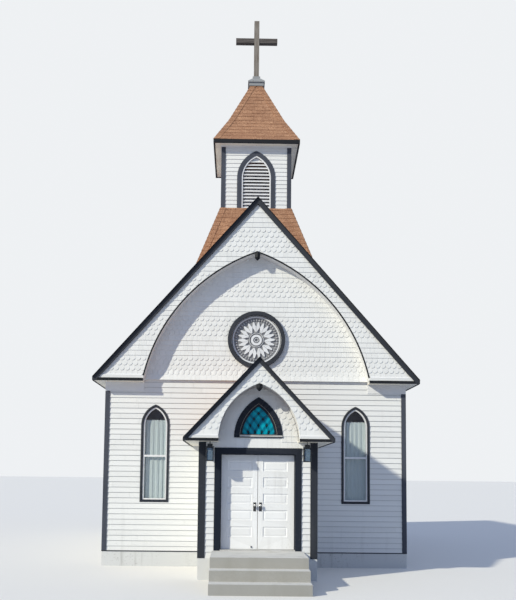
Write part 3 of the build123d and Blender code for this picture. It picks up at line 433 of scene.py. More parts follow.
on_front, on_rear = end_wall(0), end_wall(NAVE_LENGTH, 1)
on_left, on_right = side_wall(-1, NAVE_HALF), side_wall(1, NAVE_HALF)
stops = pointed_stops(*inset(LANCET, HIDDEN_EDGE))
front_stops = stops + [PORCH_RIDGE - PORCH_DECK - PORCH_SLOPE * PORCH_HALF]
nave_paint = clapboard_paint("nave_clapboard_paint", PLINTH_TOP)
boards = ([], [])
clapboards(boards, on_front, front_spans, front_stops, PLINTH_TOP, SCREEN_FOOT)
make_piece("front_clapboards", boards, nave_paint)
boards = ([], [])
clapboards(boards, on_rear, end_spans, stops, PLINTH_TOP, SCREEN_FOOT)
clapboards(boards, on_left, side_spans, stops, PLINTH_TOP, SOFFIT_LEVEL)
clapboards(boards, on_right, side_spans, stops, PLINTH_TOP, SOFFIT_LEVEL)
make_piece("nave_clapboards", boards, nave_paint)
dress(siding_paint, "front_wall_left", "front_wall_right", "nave_side_walls", "rear_wall")

# The shingled gables: sawn cedar shingles painted white, in bands of straight butts and of round ones.
# The recessed gable's lowest rows kick out over the clapboards.

ROW = 0.125
SHINGLE_BUTT = 0.019
SHINGLE_TIP = 0.001
SHINGLE_LENGTH = 1.6
ROUND_WIDTH = 0.132
STRAIGHT_WIDTHS = (0.09, 0.2)
ROUND_POINTS = 6
GAP = 0.002
ARCH_HALF = 2.76
ARCH_RADIUS = 4.3
ARCH_APEX = 7.74
ROSE_LEVEL = 5.6
ROSE_RADIUS = 0.715
ROOF_SLOPE = 1.14
RIDGE = 9.13
DECK = 0.1365
FLARE = ((4.565, 0.06), (4.59, 0.06), (4.68, 0.02), (4.795, 0.0))
GABLE_BANDS = "SRRRRSSSSRRRRSSSSRRRRSSSSSSSRRRRSSSS"


def arc_centre(half, radius, foot, apex):
    """Centre of the right-hand arc of a gable arch."""
    rise = apex - foot
    chord = hypot(half, rise)
    sag = sqrt(radius ** 2 - (chord / 2) ** 2)
    return half / 2 - sag * rise / chord, foot + rise / 2 - sag * half / chord


def trim(outline, point, normal):
    """The part of a convex outline on the side of a line that its normal points to."""
    kept = []
    count = len(outline)
    depths = [(x - point[0]) * normal[0] + (z - point[1]) * normal[1] for x, z in outline]
    for index in range(count):
        after = (index + 1) % count
        if depths[index] >= 0:
            kept.append(outline[index])
        if (depths[index] >= 0) != (depths[after] >= 0):
            share = depths[index] / (depths[index] - depths[after])
            kept.append(tuple(a + (b - a) * share for a, b in zip(outline[index], outline[after])))
    return kept


def cut_down(outline, cuts):
    """An outline trimmed by lines, or nothing where too little is left."""
    for point, normal in cuts:
        outline = trim(outline, point, normal)
        if len(outline) < 3:
            return []
    return outline


def middle_of(outline):
    """The mean of an outline's points."""
    return [sum(axis) / len(outline) for axis in zip(*outline)]


def beside_arc(centre, radius, x, z, inside):
    """The line along an arc nearest to a point, keeping its inner or outer side."""
    away = Vector((x - centre[0], z - centre[1])).normalized()
    point = (centre[0] + radius * away.x, centre[1] + radius * away.y)
    return point, (-away.x, -away.y) if inside else (away.x, away.y)


def shingle_outlines(low, high, reach, bands):
    """Outlines of every shingle on the right of the centreline, row by row, with its row's foot."""
    for row in range(ceil((high - low) / ROW)):
        foot = low + row * ROW
        top = foot + ROW * SHINGLE_LENGTH
        if bands[row % len(bands)] == "R":
            radius = ROUND_WIDTH / 2 - GAP / 2
            start = -ROUND_WIDTH / 2 if row % 2 else 0
            for index in range(int(reach / ROUND_WIDTH) + 2):
                middle = start + (index + 0.5) * ROUND_WIDTH
                turns = [pi + pi * step / ROUND_POINTS for step in range(ROUND_POINTS + 1)]
                butt = [(middle + radius * cos(turn), foot + radius + radius * sin(turn)) for turn in turns]
                yield foot, butt + [(middle + radius, top), (middle - radius, top)]
        else:
            edge = 0
            while edge < reach:
                width = chance.uniform(*STRAIGHT_WIDTHS)
                right = edge + width - GAP
                yield foot, [(edge, foot), (right, foot), (right, top), (edge, top)]
                edge += width


def kick(level):
    """How far the flare carries the shingles out at a level."""
    for (low, near), (high, far) in zip(FLARE, FLARE[1:]):
        if low <= level <= high:
            return near + (far - near) * (level - low) / (high - low)
    return 0


def shingled(name, wall, low, high, reach, bands, cuts, base=lambda level: 0):
    """Wedge-shaped shingles, trimmed to a gable and laid on each side of its centreline."""
    shape = ([], [])
    slope = (SHINGLE_BUTT - SHINGLE_TIP) / (ROW * SHINGLE_LENGTH)
    for foot, outline in shingle_outlines(low, high, reach, bands):
        outline = cut_down(outline, [((0, 0), (1, 0))] + cuts(*middle_of(outline)))
        for side in (1, -1) if outline else ():
            skin(shape, [[wall(side * x, z, base(z)) for x, z in outline],
                         [wall(side * x, z, base(z) + SHINGLE_BUTT - slope * (z - foot))
                          for x, z in outline]], front=True)
    make_piece(name, shape, siding_paint)


arch_centre = arc_centre(ARCH_HALF, ARCH_RADIUS, SCREEN_FOOT, ARCH_APEX)


def recess_cuts(x, z):
    """Lines that trim the recessed gable's shingles: inside the arch, outside the rose window."""
    return [beside_arc(arch_centre, ARCH_RADIUS, x, z, True),
            beside_arc((0, ROSE_LEVEL), ROSE_RADIUS - HIDDEN_EDGE, x, z, False)]


def rear_cuts(x, z):
    """Line that trims the rear gable's shingles under the roof."""
    return [((0, RIDGE - DECK), (-ROOF_SLOPE, -1))]


shingled("recess_shingles", on_front, SCREEN_FOOT, ARCH_APEX, ARCH_HALF, GABLE_BANDS, recess_cuts, kick)
shingled("rear_shingles", on_rear, SCREEN_FOOT, RIDGE - DECK, NAVE_HALF, GABLE_BANDS, rear_cuts)
dress(siding_paint, "front_wall_gable")

# The corner boards and the frieze: planed boards, charcoal on the corners and white under the eaves. The
# charcoal has chalked to grey on the exposed outer corners and high up on the belfry.

CHALK_ACROSS = (3.0, 3.4)
CHALK_LEVELS = (8.0, 9.6)
faded_paint, tree, shader = start_material("faded_charcoal", 0.6, 0.12)
split = add(tree, "SeparateXYZ", {0: whereabouts(tree)})
outer = ramp(tree, reckon(tree, "ABSOLUTE", split["X"]), *CHALK_ACROSS)
exposed = reckon(tree, "MAXIMUM", outer, ramp(tree, split["Z"], *CHALK_LEVELS))
chalk = ramp(tree, spots(tree, (6, 6, 0.8), 1.0, 5, 0.2, 0.7), 0, 1, 0.55, 1.0)
coat = add(tree, "Group", {"Paint": CHARCOAL, "Grime": DUST, "Amount": 0.35, "Board": 0.0},
           node_tree=weathering)
feed(shader, {"Base Color": between(tree, reckon(tree, "MULTIPLY", exposed, chalk), coat["Colour"],
                                    (0.072, 0.079, 0.102, 1))})
raise_surface(tree, shader, coat["Height"], 0.0015)
dress(faded_paint, "corner_boards")
trim_white = paint("white_trim_paint", (0.80, 0.80, 0.81, 1), RAIN_GREY, 0.35, 0.45)
dress(trim_white, "frieze_boards")

# The pointed windows: a charcoal frame let into the wall, a white sash with a meeting rail, and clear
# glass that looks dark from outside. The front pair has white curtains, gathered at their heading.

FRAME_WIDTH = 0.045
STOP_WIDTH = 0.014
STOP_PROUD = 0.012
ARC_STEPS = 8
dress(dark_paint, "window_frames")
dress(paint("sash_paint", (0.80, 0.80, 0.81, 1), (0.35, 0.33, 0.30, 1), 0.4, 0.4), "window_sashes")


def pointed_outline(half, radius, sill, spring):
    """Points round a pointed opening, from its sill up the right side and down the left."""
    tip = acos((radius - half) / radius)
    turns = [tip * step / ARC_STEPS for step in range(ARC_STEPS + 1)]
    right = [(half - radius + radius * cos(turn), spring + radius * sin(turn)) for turn in turns]
    return [(-half, sill), (half, sill)] + right + [(-x, z) for x, z in reversed(right[:-1])]


def pointed_band(shape, place, along, sizes, width, gap, proud):
    """A closed band inside a pointed opening, set in from its edge and standing out of the wall."""
    outlines = pointed_outline(*inset(sizes, gap)), pointed_outline(*inset(sizes, gap + width))
    skin(shape, [(place(along + x, z, 0), place(along + x, z, proud), place(along + u, v, proud),
                  place(along + u, v, 0)) for (x, z), (u, v) in zip(*outlines)], around=True)


beads = ([], [])
for places, walls in (((-LANCET_X, LANCET_X), (on_front, on_rear)), (BAYS, (on_left, on_right))):
    for along in places:
        for wall in walls:
            pointed_band(beads, wall, along, LANCET, STOP_WIDTH, FRAME_WIDTH, STOP_PROUD)
make_piece("stop_beads", beads, dark_paint)


def mottled(name, gloss, marks, plain, marked, share=1, shine=0.5, sockets=()):
    """A finish with soft marks in a second colour, and its node tree, its shader and the marks."""
    material, tree, shader = start_material(name, gloss, shine)
    mask = spots(tree, *marks)
    shown = mask if share == 1 else reckon(tree, "MULTIPLY", mask, share)
    feed(shader, {"Base Color": between(tree, shown, plain, marked), **dict(sockets)})
    return material, tree, shader, mask


glass = mottled("clear_glass", 0.06, (EVEN, 3.0, 5, 0.4, 0.8), (0.03, 0.035, 0.06, 1),
                (0.2, 0.22, 0.26, 1), 0.3, sockets={"Alpha": 0.17})[0]
dress(glass, "window_glass")
CURTAIN_TOP = 3.57
CURTAIN_FOOT = 1.61
CURTAIN_PLANE = 0.085
FOLD_DEPTH = 0.0125
FOLDS = 5
FOLD_STEPS = 24
CURTAIN_ROWS = 40
SIDE_CLEARANCE = 0.06


def hang_curtain(name, middle):
    """A gathered curtain: tight gathers at the heading that open into deeper folds.

    The folds wander from side to side, a finer ripple runs through them, and the heading's edge droops.
    """
    count = FOLDS * FOLD_STEPS
    phases = [chance.uniform(-0.7, 0.7) for fold in range(FOLDS + 1)]
    corners, faces = [], []
    for row in range(CURTAIN_ROWS + 1):
        down = row / CURTAIN_ROWS
        level = CURTAIN_TOP - (CURTAIN_TOP - CURTAIN_FOOT) * down
        half = pointed_half(level, LANCET_HALF - SIDE_CLEARANCE, LANCET_RADIUS - SIDE_CLEARANCE,
                            LANCET_SILL, LANCET_SPRING)
        deep = FOLD_DEPTH * (0.45 + 0.55 * min(1, down * 3))
        for step in range(count + 1):
            fold = step / FOLD_STEPS
            wander = 0.55 * sin(0.9 * fold + phases[0] * 4) + phases[1] * down * sin(0.7 * fold + phases[2])
            swing = sin(2 * pi * fold + 2 * wander)
            ripple = 0.3 * sin(4.6 * pi * fold + 2 * down + phases[3])
            gather = 0.3 * (1 - min(1, down * 5)) * sin(13 * pi * fold + phases[4])
            across = middle + half * (2 * step / count - 1)
            droop = 0.009 * sin(6 * pi * fold + 2 * wander) * (1 - min(1, down * 6))
            corners.append((across, CURTAIN_PLANE + deep * (swing + ripple + gather) / 1.6, level + droop))
    for row in range(CURTAIN_ROWS):
        for step in range(count):
            first = row * (count + 1) + step
            faces.append((first, first + 1, first + count + 2, first + count + 1))
    piece = make_piece(name, (corners, faces), cotton, smooth=True)
    middle_row = (CURTAIN_ROWS // 2) * (count + 1)
    line = [Vector(corners[middle_row + step]) for step in range(count + 1)]
    width = sum((b - a).length for a, b in zip(line, line[1:]))
    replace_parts(piece, "curtains")


cotton, tree, shader = mottled("curtain_cotton", 0.85, ((12, 12, 0.5), 1.0, 4, 0.4, 0.8),
                               (0.80, 0.92, 0.92, 1), (0.50, 0.60, 0.62, 1), 0.35,
                               sockets={"Sheen Weight": 0.3})[:3]
weave = add(tree, "TexChecker", {"Vector": whereabouts(tree), "Scale": 900.0})
raise_surface(tree, shader, weave["Fac"], 0.0004, 0.3)
hang_curtain("curtain_left", -LANCET_X)
hang_curtain("curtain_right", LANCET_X)

# The rose window: a charcoal ring round a cast rosette, painted white over a grey ground: a hub, pairs of
# leaves, a ring of small teeth and beads, and a thin white rim against the charcoal ring.

ROSE_LEAVES = 11
LEAF_START = 0.8
LEAF = ((0.205, 0.004), (0.345, 0.004), (0.385, 0.055), (0.45, 0.098), (0.472, 0.143), (0.45, 0.188),
        (0.385, 0.231), (0.345, 0.283), (0.3, 0.26), (0.25, 0.165), (0.205, 0.1))
FACE_SHARE = 0.95
ROSE_TEETH = 48
TEETH_FOOT = 0.48
TEETH_TIP = 0.515
TEETH_POINT = 0.01
TEETH_LEAN = 0.62
BEAD_RING = 0.542
BEAD = 0.01
ROSE_GROUND = 0.6
GROUND_BACK = 0.035
GROUND_FACE = 0.029
ROSE_FOOT = 0.03
RING_STEPS = 64
ROSE_RINGS = ((0.04, 0.052), (0.08, 0.136), (0.172, 0.18), (0.564, 0.598), (0.612, 0.62))
dress(dark_paint, "rose_frame")


def polar(radius, turn, y):
    """A point round the rose window's middle."""
    return (radius * cos(turn), y, ROSE_LEVEL + radius * sin(turn))


def round_loop(radius, y):
    """A circle round the rose window's middle."""
    return [polar(radius, 2 * pi * step / RING_STEPS, y) for step in range(RING_STEPS)]


def raised(shape, loop):
    """A flat ornament standing on the rosette's ground, its face a little smaller than its foot."""
    middle = middle_of(loop)
    face = [[centre + (value - centre) * FACE_SHARE for value, centre in zip(point, middle)]
            for point in loop]
    solid(shape, [polar(*point, ROSE_FOOT) for point in loop], [polar(*point, 0) for point in face])


ground = ([], [])
solid(ground, round_loop(ROSE_GROUND, GROUND_BACK), round_loop(ROSE_GROUND, GROUND_FACE))
make_piece("rose_ground", ground, paint("rose_ground", (0.27, 0.275, 0.29, 1), (0.09, 0.09, 0.10, 1), 0.8,
                                        0.8))
cast = ([], [])
for inner, outer in ROSE_RINGS:
    skin(cast, [round_loop(outer, ROSE_FOOT), round_loop(outer, 0), round_loop(inner, 0),
                round_loop(inner, ROSE_FOOT)], around=True)
for index in range(ROSE_LEAVES):
    turn = 2 * pi * (index + LEAF_START) / ROSE_LEAVES
    for side in (-1, 1):
        raised(cast, [(radius, turn + side * lean) for radius, lean in LEAF])
rose_white = paint("rose_white", (0.80, 0.81, 0.83, 1), (0.34, 0.34, 0.35, 1), 0.7, 0.5)
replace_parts(make_piece("rosette", cast, rose_white), "rose_tracery")
teeth = ([], [])
for index in range(ROSE_TEETH):
    turn = 2 * pi * index / ROSE_TEETH
    lean = TEETH_LEAN * pi / ROSE_TEETH
    raised(teeth, [(TEETH_FOOT, turn), (TEETH_TIP, turn - lean), (TEETH_TIP + TEETH_POINT, turn),
                   (TEETH_TIP, turn + lean)])
    sides = [pi * step / 3 for step in range(6)]
    raised(teeth, [(BEAD_RING + BEAD * cos(side), turn + BEAD * sin(side) / BEAD_RING) for side in sides])
rose_grey = paint("rose_grey", (0.52, 0.52, 0.54, 1), (0.14, 0.14, 0.15, 1), 0.9, 0.6)
make_piece("rose_teeth", teeth, rose_grey)

# The roofs: rust-brown mineral-faced shingles in courses on boarded decks, with folded caps along the
# ridge. The rake boards and fascias are charcoal, and the soffits are white tongued boards.

TAB_ROW = 0.14
TAB_LAP = 1.2
TAB_WIDTHS = (0.16, 0.34)
TAB_THICKNESS = (0.007, 0.015)
TAB_TIP = 0.001
TAB_GAP = 0.003
EAVE_HALF = 4.0
ROOF_FRONT = -0.31
ROOF_BACK = 11.31
EAVE_SETBACK = 0.022
PORCH_ROOF_FRONT = -2.76
PORCH_EAVE_HALF = 1.59
RAKE_FRONT = -0.365
SCREEN_FACE = -0.3
PORCH_FACE = -2.75
PORCH_SOFFIT = 2.93
BOARD_EDGE = 0.035
BOARD_EDGE_DROP = 0.01
PORCH_RAKE_FRONT = -2.815
EDGE_RISE = 0.004
EDGE_PROUD = 0.05
EDGE_SETBACK = 0.006
NAVE_ROOF = (ROOF_SLOPE, RIDGE, EAVE_HALF)
PORCH_ROOF = (PORCH_SLOPE, PORCH_RIDGE, PORCH_EAVE_HALF)
shingle_felt, tree, shader = start_material("roof_shingle", DULLEST)
coat = add(tree, "Group", {"Middle": (0.43, 0.225, 0.125, 1), "Dark": (0.20, 0.09, 0.05, 1),
                           "Pale": (0.62, 0.38, 0.24, 1), "Fineness": 45.0}, node_tree=granules)
shade = ramp(tree, add(tree, "NewGeometry", {})["Random Per Island"], 0, 1, 0, 0.42)
feed(shader, {"Base Color": between(tree, shade, coat["Colour"], (0.22, 0.10, 0.055, 1))})
raise_surface(tree, shader, coat["Height"], 0.003, 0.6)
dress(shingle_felt, "nave_roof_left", "nave_roof_right", "ridge_cap", "porch_roof_left", "porch_roof_right")


def tabs(shape, place, rows, start, end, cuts):
    """Courses of tabs up a slope, from one edge to the other, trimmed by lines."""
    for row in range(rows):
        foot = row * TAB_ROW
        top = foot + TAB_LAP * TAB_ROW
        edge = start - chance.uniform(0, TAB_WIDTHS[0])
        while edge < end:
            width = chance.uniform(*TAB_WIDTHS)
            right = edge + width - TAB_GAP
            outline = cut_down([(edge, foot), (right, foot), (right, top), (edge, top)], cuts)
            edge += width
            if outline:
                thick = chance.uniform(*TAB_THICKNESS)
                taper = (thick - TAB_TIP) / (TAB_LAP * TAB_ROW)
                skin(shape, [[place(u, v, 0) for u, v in outline],
                             [place(u, v, thick - taper * (v - foot)) for u, v in outline]], front=True)


def roof_slope(name, side, roof, front, back):
    """One shingled roof slope."""
    slope, ridge, half = roof
    stretch = sqrt(1 + slope ** 2)
    edge = half - EAVE_SETBACK / stretch
    eave = ridge - slope * edge

    def place(along, up, out):
        return (side * (edge + (slope * out - up) / stretch), along, eave + (slope * up + out) / stretch)

    shape = ([], [])
    tabs(shape, place, int((half * stretch - EAVE_SETBACK) / TAB_ROW), front, back,
         [((front, 0), (1, 0)), ((back, 0), (-1, 0))])
    make_piece(name, shape, shingle_felt)


roof_slope("nave_shingles_left", -1, NAVE_ROOF, ROOF_FRONT, ROOF_BACK)
roof_slope("nave_shingles_right", 1, NAVE_ROOF, ROOF_FRONT, ROOF_BACK)
dress(dark_paint, "rake_boards")
# Black paint, darker than the charcoal: the drip edges' and edge boards' own black, and on the fascias, the
# gable arch's edge and its pendants partly painted shade for the shadow they sit in.
black_and_shade_paint = paint("black_and_shade_paint", (0.012, 0.014, 0.018, 1), (0.04, 0.04, 0.045, 1), 0.4, 0.5, shine=0.12)
dress(black_and_shade_paint, "eave_fascias", "gable_arch_edge", "arch_pendants")
drips = ([], [])
for side in (-1, 1):
    for (slope, ridge, half), front, back in (
            (NAVE_ROOF, RAKE_FRONT - EDGE_PROUD, ROOF_FRONT), (NAVE_ROOF, ROOF_BACK, ROOF_BACK + EDGE_PROUD),
            (PORCH_ROOF, PORCH_RAKE_FRONT - EDGE_PROUD, PORCH_ROOF_FRONT)):
        top = ridge + EDGE_RISE * sqrt(1 + slope ** 2)
        reach = half - EDGE_SETBACK
        slab(drips, on_front, [(0, ridge), (0, top), (side * reach, top - slope * reach),
                               (side * reach, ridge - slope * reach)], -front, -back)
make_piece("drip_edges", drips, black_and_shade_paint)
# The soffits are white boards; their cream colour is painted warm light, bounced up from the ground and the
# roof.
bounce_lit_soffit_paint, tree, shader = start_material("bounce_lit_soffit_boards", 0.5)
feed(shader, {"Base Color": planks(tree, whereabouts(tree), (0.98, 0.92, 0.80, 1), (0.94, 0.88, 0.76, 1),
                                   (0.45, 0.40, 0.34, 1), 0.003, 6.0, 0.1)})
dress(bounce_lit_soffit_paint, "eave_soffits")
edges = ([], [])
for half, level, front, back in ((EAVE_HALF, SOFFIT_LEVEL, SCREEN_FACE, NAVE_LENGTH - SCREEN_FACE),
                                 (PORCH_EAVE_HALF, PORCH_SOFFIT, PORCH_FACE, 0)):
    for side in (-1, 1):
        bar(edges, side * half, side * (half - BOARD_EDGE), front, back, level - BOARD_EDGE_DROP, level)
make_piece("eave_edges", edges, black_and_shade_paint)

# The gable screens: framed panels in the plane of the roof's front edge, shingled like the gable, with a
# pointed arch cut through. A smooth curved lining joins each to the wall behind.

RAKE_EDGE = RIDGE - 0.1668
RAKE_LAP = 0.02
LIP = 0.065
ARCH_EDGE = 0.035
SKIRTING_HEIGHT = 0.06
SKIRTING_PROUD = 0.043
SKIRTING_NOSE = 0.006
SKIRTING_GAP = 0.05
SKIRTING_START = 0.01
PORCH_LIP = 0.045
PORCH_FOOT = 2.988
PORCH_ARCH_HALF = 0.85
PORCH_ARCH_RADIUS = 1.24
PORCH_ARCH_APEX = 4.15
PORCH_ARCH_GAP = 0.004
PORCH_RAKE_EDGE = PORCH_RIDGE - 0.1175
PORCH_REACH = 1.6
SCREEN_BANDS = "RRRRSSSSRRRRSSSSRRRRRSSSSRRRRRSSSSSSS"
PORCH_BANDS = "SRRRRSSSRRRSSSS"
dress(siding_paint, "gable_screen_left", "gable_screen_right", "porch_screen_left", "porch_screen_right")


def screen_cuts(centre, radius, rake, slope, foot):
    """Lines that trim a screen's shingles: outside the arch, below the rake boards, above the skirting."""
    return lambda x, z: [beside_arc(centre, radius, x, z, False), ((0, rake + RAKE_LAP), (-slope, -1)),
                         ((0, foot), (0, 1))]


porch_arch_centre = arc_centre(PORCH_ARCH_HALF, PORCH_ARCH_RADIUS, PORCH_FOOT, PORCH_ARCH_APEX)
foot = SCREEN_FOOT + LIP
shingled("screen_shingles", end_wall(SCREEN_FACE), foot, RAKE_EDGE, NAVE_HALF, SCREEN_BANDS,
         screen_cuts(arch_centre, ARCH_RADIUS + ARCH_EDGE, RAKE_EDGE, ROOF_SLOPE, foot))
foot = PORCH_FOOT + LIP
shingled("porch_screen_shingles", end_wall(PORCH_FACE), foot, PORCH_RAKE_EDGE, PORCH_REACH, PORCH_BANDS,
         screen_cuts(porch_arch_centre, PORCH_ARCH_RADIUS + PORCH_ARCH_GAP, PORCH_RAKE_EDGE, PORCH_SLOPE,
                     foot))
skirting = ([], [])
for face, foot, start, end in (
        (SCREEN_FACE, SCREEN_FOOT + LIP, ARCH_HALF + ARCH_EDGE, EAVE_HALF - SKIRTING_GAP),
        (PORCH_FACE, PORCH_FOOT + PORCH_LIP, PORCH_ARCH_HALF + SKIRTING_START,
         PORCH_EAVE_HALF - SKIRTING_GAP)):
    section = ((face, foot), (face - SKIRTING_PROUD, foot), (face - SKIRTING_PROUD, foot + SKIRTING_NOSE),
               (face, foot + SKIRTING_HEIGHT))
    for side in (-1, 1):
        slab(skirting, lambda y, z, x: (side * x, y, z), section, start, end)
make_piece("screen_skirting", skirting, trim_white)

# The vestibule: a small gabled room in front of the nave, clapboarded, with a pointed transom of teal
# leaded glass over a pair of panelled doors, and a lantern on each side.

PORCH_PLINTH = 0.46
DOOR_CASING = 0.935
TRANSOM_HALF = 0.525
TRANSOM_RADIUS = 0.99
TRANSOM_SILL = 3.03
CASING_TOP = 2.81
PORCH_ROOF_BACK = -0.002
RECESS_BANDS = "SSSRRRRSSSSS"
on_porch_front = end_wall(PORCH_FRONT)
casing_edge = DOOR_CASING - HIDDEN_EDGE
boards = ([], [])
clapboards(boards, on_porch_front, lambda level: [(-PORCH_HALF, -casing_edge), (casing_edge, PORCH_HALF)],
           [], PORCH_PLINTH, PORCH_SOFFIT)
for side in (-1, 1):
    clapboards(boards, side_wall(side, PORCH_HALF), lambda level: [(PORCH_FRONT, 0)], [], PORCH_PLINTH,
               PORCH_SOFFIT)
make_piece("porch_clapboards", boards, clapboard_paint("porch_clapboard_paint", PORCH_PLINTH))
dress(siding_paint, "porch_side_walls", "porch_front_sides", "porch_front_gable")


def porch_recess_cuts(x, z):
    """Lines that trim the vestibule's recessed gable: inside its arch, outside the transom."""
    cuts = [((0, CASING_TOP), (0, 1))]
    if z < TRANSOM_SILL - ROW / 2:
        cuts.append(((casing_edge, 0), (-1, 0)))
        if x < TRANSOM_HALF:
            cuts.append(((0, TRANSOM_SILL + HIDDEN_EDGE), (0, -1)))
        return cuts
    centre = (TRANSOM_HALF - TRANSOM_RADIUS, TRANSOM_SILL)
    return cuts + [beside_arc(porch_arch_centre, PORCH_ARCH_RADIUS, x, z, True),
                   beside_arc(centre, TRANSOM_RADIUS - HIDDEN_EDGE, x, z, False)]


shingled("porch_recess_shingles", on_porch_front, CASING_TOP, PORCH_ARCH_APEX, DOOR_CASING, RECESS_BANDS,
         porch_recess_cuts)
roof_slope("porch_shingles_left", -1, PORCH_ROOF, PORCH_ROOF_FRONT, PORCH_ROOF_BACK)
roof_slope("porch_shingles_right", 1, PORCH_ROOF, PORCH_ROOF_FRONT, PORCH_ROOF_BACK)
navy_paint = paint("navy_paint", (0.012, 0.017, 0.028, 1), DUST, 0.2, 0.5, shine=0.08)
dress(navy_paint, "transom_frame", "door_frame")
TRANSOM_FRAME = 0.17
TRANSOM_RAIL = 0.07
LATTICE_LEVELS = (3.0, 3.155, 3.299, 3.437, 3.556, 3.66)
LATTICE_STEPS = (0.06, 0.0742, 0.0895, 0.0993, 0.1168, 0.125)
LATTICE_REACH = 6
LATTICE_BAND = 0.052
BAND_THICKNESS = 0.004
LEAD_THICKNESS = 0.008
LEAD_HALF = 0.023
LEAD_RISE = 0.027
GLASS_FACE = PORCH_FRONT + 0.02
FRAME_FACE = PORCH_FRONT - 0.028
BEAD_INSET = 0.117
BEAD_WIDTH = 0.008
BEAD_PROUD = 0.006
BEAD_DROP = 0.06
NOSING_LEFT = -0.4
NOSING_GAP = 0.005
NOSING_PROUD = 0.01
NOSING_LOW = 0.02
NOSING_HIGH = 0.052


def tinted_glass(name, deep, pale):
    """Coloured glass, mottled and a little uneven."""
    glass, tree, shader = mottled(name, 0.25, (EVEN, 9.0, 3, 0.35, 0.7), deep, pale, shine=0.12)[:3]
    raise_surface(tree, shader, spots(tree, EVEN, 24.0, 2, 0.3, 0.7), 0.002, 0.4)
    return glass


def glass_cuts(x, z):
    """Lines that trim the lattice to the transom's glass."""
    lean = (TRANSOM_RADIUS - TRANSOM_HALF) * (-1 if x > 0 else 1)
    return [beside_arc((lean, TRANSOM_SILL), TRANSOM_RADIUS - TRANSOM_FRAME, x, z, True),
            ((0, TRANSOM_SILL + TRANSOM_RAIL), (0, 1))]


def lattice_piece(shape, outline, thickness):
    """One flat piece of the lattice, trimmed to the glass."""
    outline = cut_down(outline, glass_cuts(*middle_of(outline)))
    if outline:
        slab(shape, end_wall(GLASS_FACE), outline, 0, thickness)


dress(tinted_glass("teal_glass", (0.0, 0.26, 0.38, 1), (0.0, 0.40, 0.50, 1)), "transom_glass")
deep_glass = tinted_glass("deep_teal_glass", (0.0, 0.15, 0.23, 1), (0.0, 0.22, 0.30, 1))
bands, knots = ([], []), ([], [])
for row, level in enumerate(LATTICE_LEVELS):
    for index in range(row % 2 - LATTICE_REACH, LATTICE_REACH + 1, 2):
        x = index * LATTICE_STEPS[row]
        if row:
            lattice_piece(knots, [(x - LEAD_HALF, level), (x, level - LEAD_RISE), (x + LEAD_HALF, level),
                                  (x, level + LEAD_RISE)], LEAD_THICKNESS)
        for turn in (-1, 1) if row + 1 < len(LATTICE_LEVELS) else ():
            near = Vector((x, level))
            far = Vector(((index + turn) * LATTICE_STEPS[row + 1], LATTICE_LEVELS[row + 1]))
            along = (far - near).normalized()
            edge = Vector((-along.y, along.x)) * LATTICE_BAND / 2
            lattice_piece(bands, [tuple(near - edge), tuple(far - edge), tuple(far + edge),
                                  tuple(near + edge)], BAND_THICKNESS)
make_piece("transom_bands", bands, deep_glass)
lead = mottled("lead", 0.5, (EVEN, 30.0, 4, 0.3, 0.7), (0.0, 0.018, 0.035, 1), (0.02, 0.04, 0.05, 1),
               shine=0.2)[0]
make_piece("transom_lead", knots, lead)
bead = ([], [])
pointed_band(bead, end_wall(FRAME_FACE), 0,
             (TRANSOM_HALF, TRANSOM_RADIUS, TRANSOM_SILL - BEAD_DROP, TRANSOM_SILL), BEAD_WIDTH, BEAD_INSET,
             BEAD_PROUD)
bead_paint = paint("bead_paint", (0.26, 0.235, 0.20, 1), (0.12, 0.11, 0.10, 1), 0.7, 0.6)
make_piece("transom_bead", bead, bead_paint)
bare_timber = mottled("worn_sill", 0.7, ((2, 30, 30), 1.0, 6, 0.4, 0.65), (0.56, 0.56, 0.56, 1),
                      (0.35, 0.34, 0.32, 1))[0]
nosing = ([], [])
bar(nosing, NOSING_LEFT, TRANSOM_HALF - NOSING_GAP, FRAME_FACE - NOSING_PROUD, FRAME_FACE,
    TRANSOM_SILL + NOSING_LOW, TRANSOM_SILL + NOSING_HIGH)
make_piece("transom_nosing", nosing, bare_timber)

# The doors: a pair of white stile-and-rail leaves with five sunk panels each, with a small moulding
# planted round every panel, black plates, bright round knobs, and butt hinges behind.

LEAF_INNER = 0.005
LEAF_OUTER = 0.795
LEAF_FOOT = 0.645
LEAF_HEAD = 2.67
MEETING_STILE = 0.105
HINGE_STILE = 0.145
TOP_RAIL = 0.13
MID_RAIL = 0.12
BOTTOM_RAIL = 0.25
PANELS = 5
PANEL_SINK = 0.012
LEAF_FRONT = -2.165
LEAF_BACK = -2.12
MOULD = 0.012
MOULD_PROUD = 0.002
MOULD_BEVEL = 0.45
FIELD_INSET = 0.045
FIELD_RISE = 0.006
KNOB_X = 0.063
KNOB_LEVEL = 1.578
KNOB_OUT = 0.056
KNOB_SIZE = (0.026, 0.015, 0.026)
KNOB_ROWS = 8
KNOB_STEPS = 16
BOLT_SPOT = (-0.13, LEAF_FRONT - 0.008, 0.69)
BOLT_SIZE = (0.016, 0.02, 0.02)
door_paint = paint("door_paint", (0.88, 0.88, 0.88, 1), (0.42, 0.40, 0.37, 1), 0.45, 0.35, 0.0008)
dress(door_paint, "left_door_leaf", "right_door_leaf")
lacquer, tree, shader, wear = mottled("worn_black", 0.35, (EVEN, 40.0, 5, 0.55, 0.7), (0.02, 0.02, 0.022, 1),
                                      (0.35, 0.33, 0.30, 1))
feed(shader, {"Metallic": wear})
dress(lacquer, "door_hinges", "left_door_fittings", "right_door_fittings")
dress(bare_timber, "door_sill")
nickel = mottled("bright_metal", 0.22, ((60, 60, 8), 1.0, 4, 0.5, 0.8), (0.80, 0.80, 0.79, 1),
                 (0.45, 0.45, 0.44, 1), sockets={"Metallic": 1.0})[0]


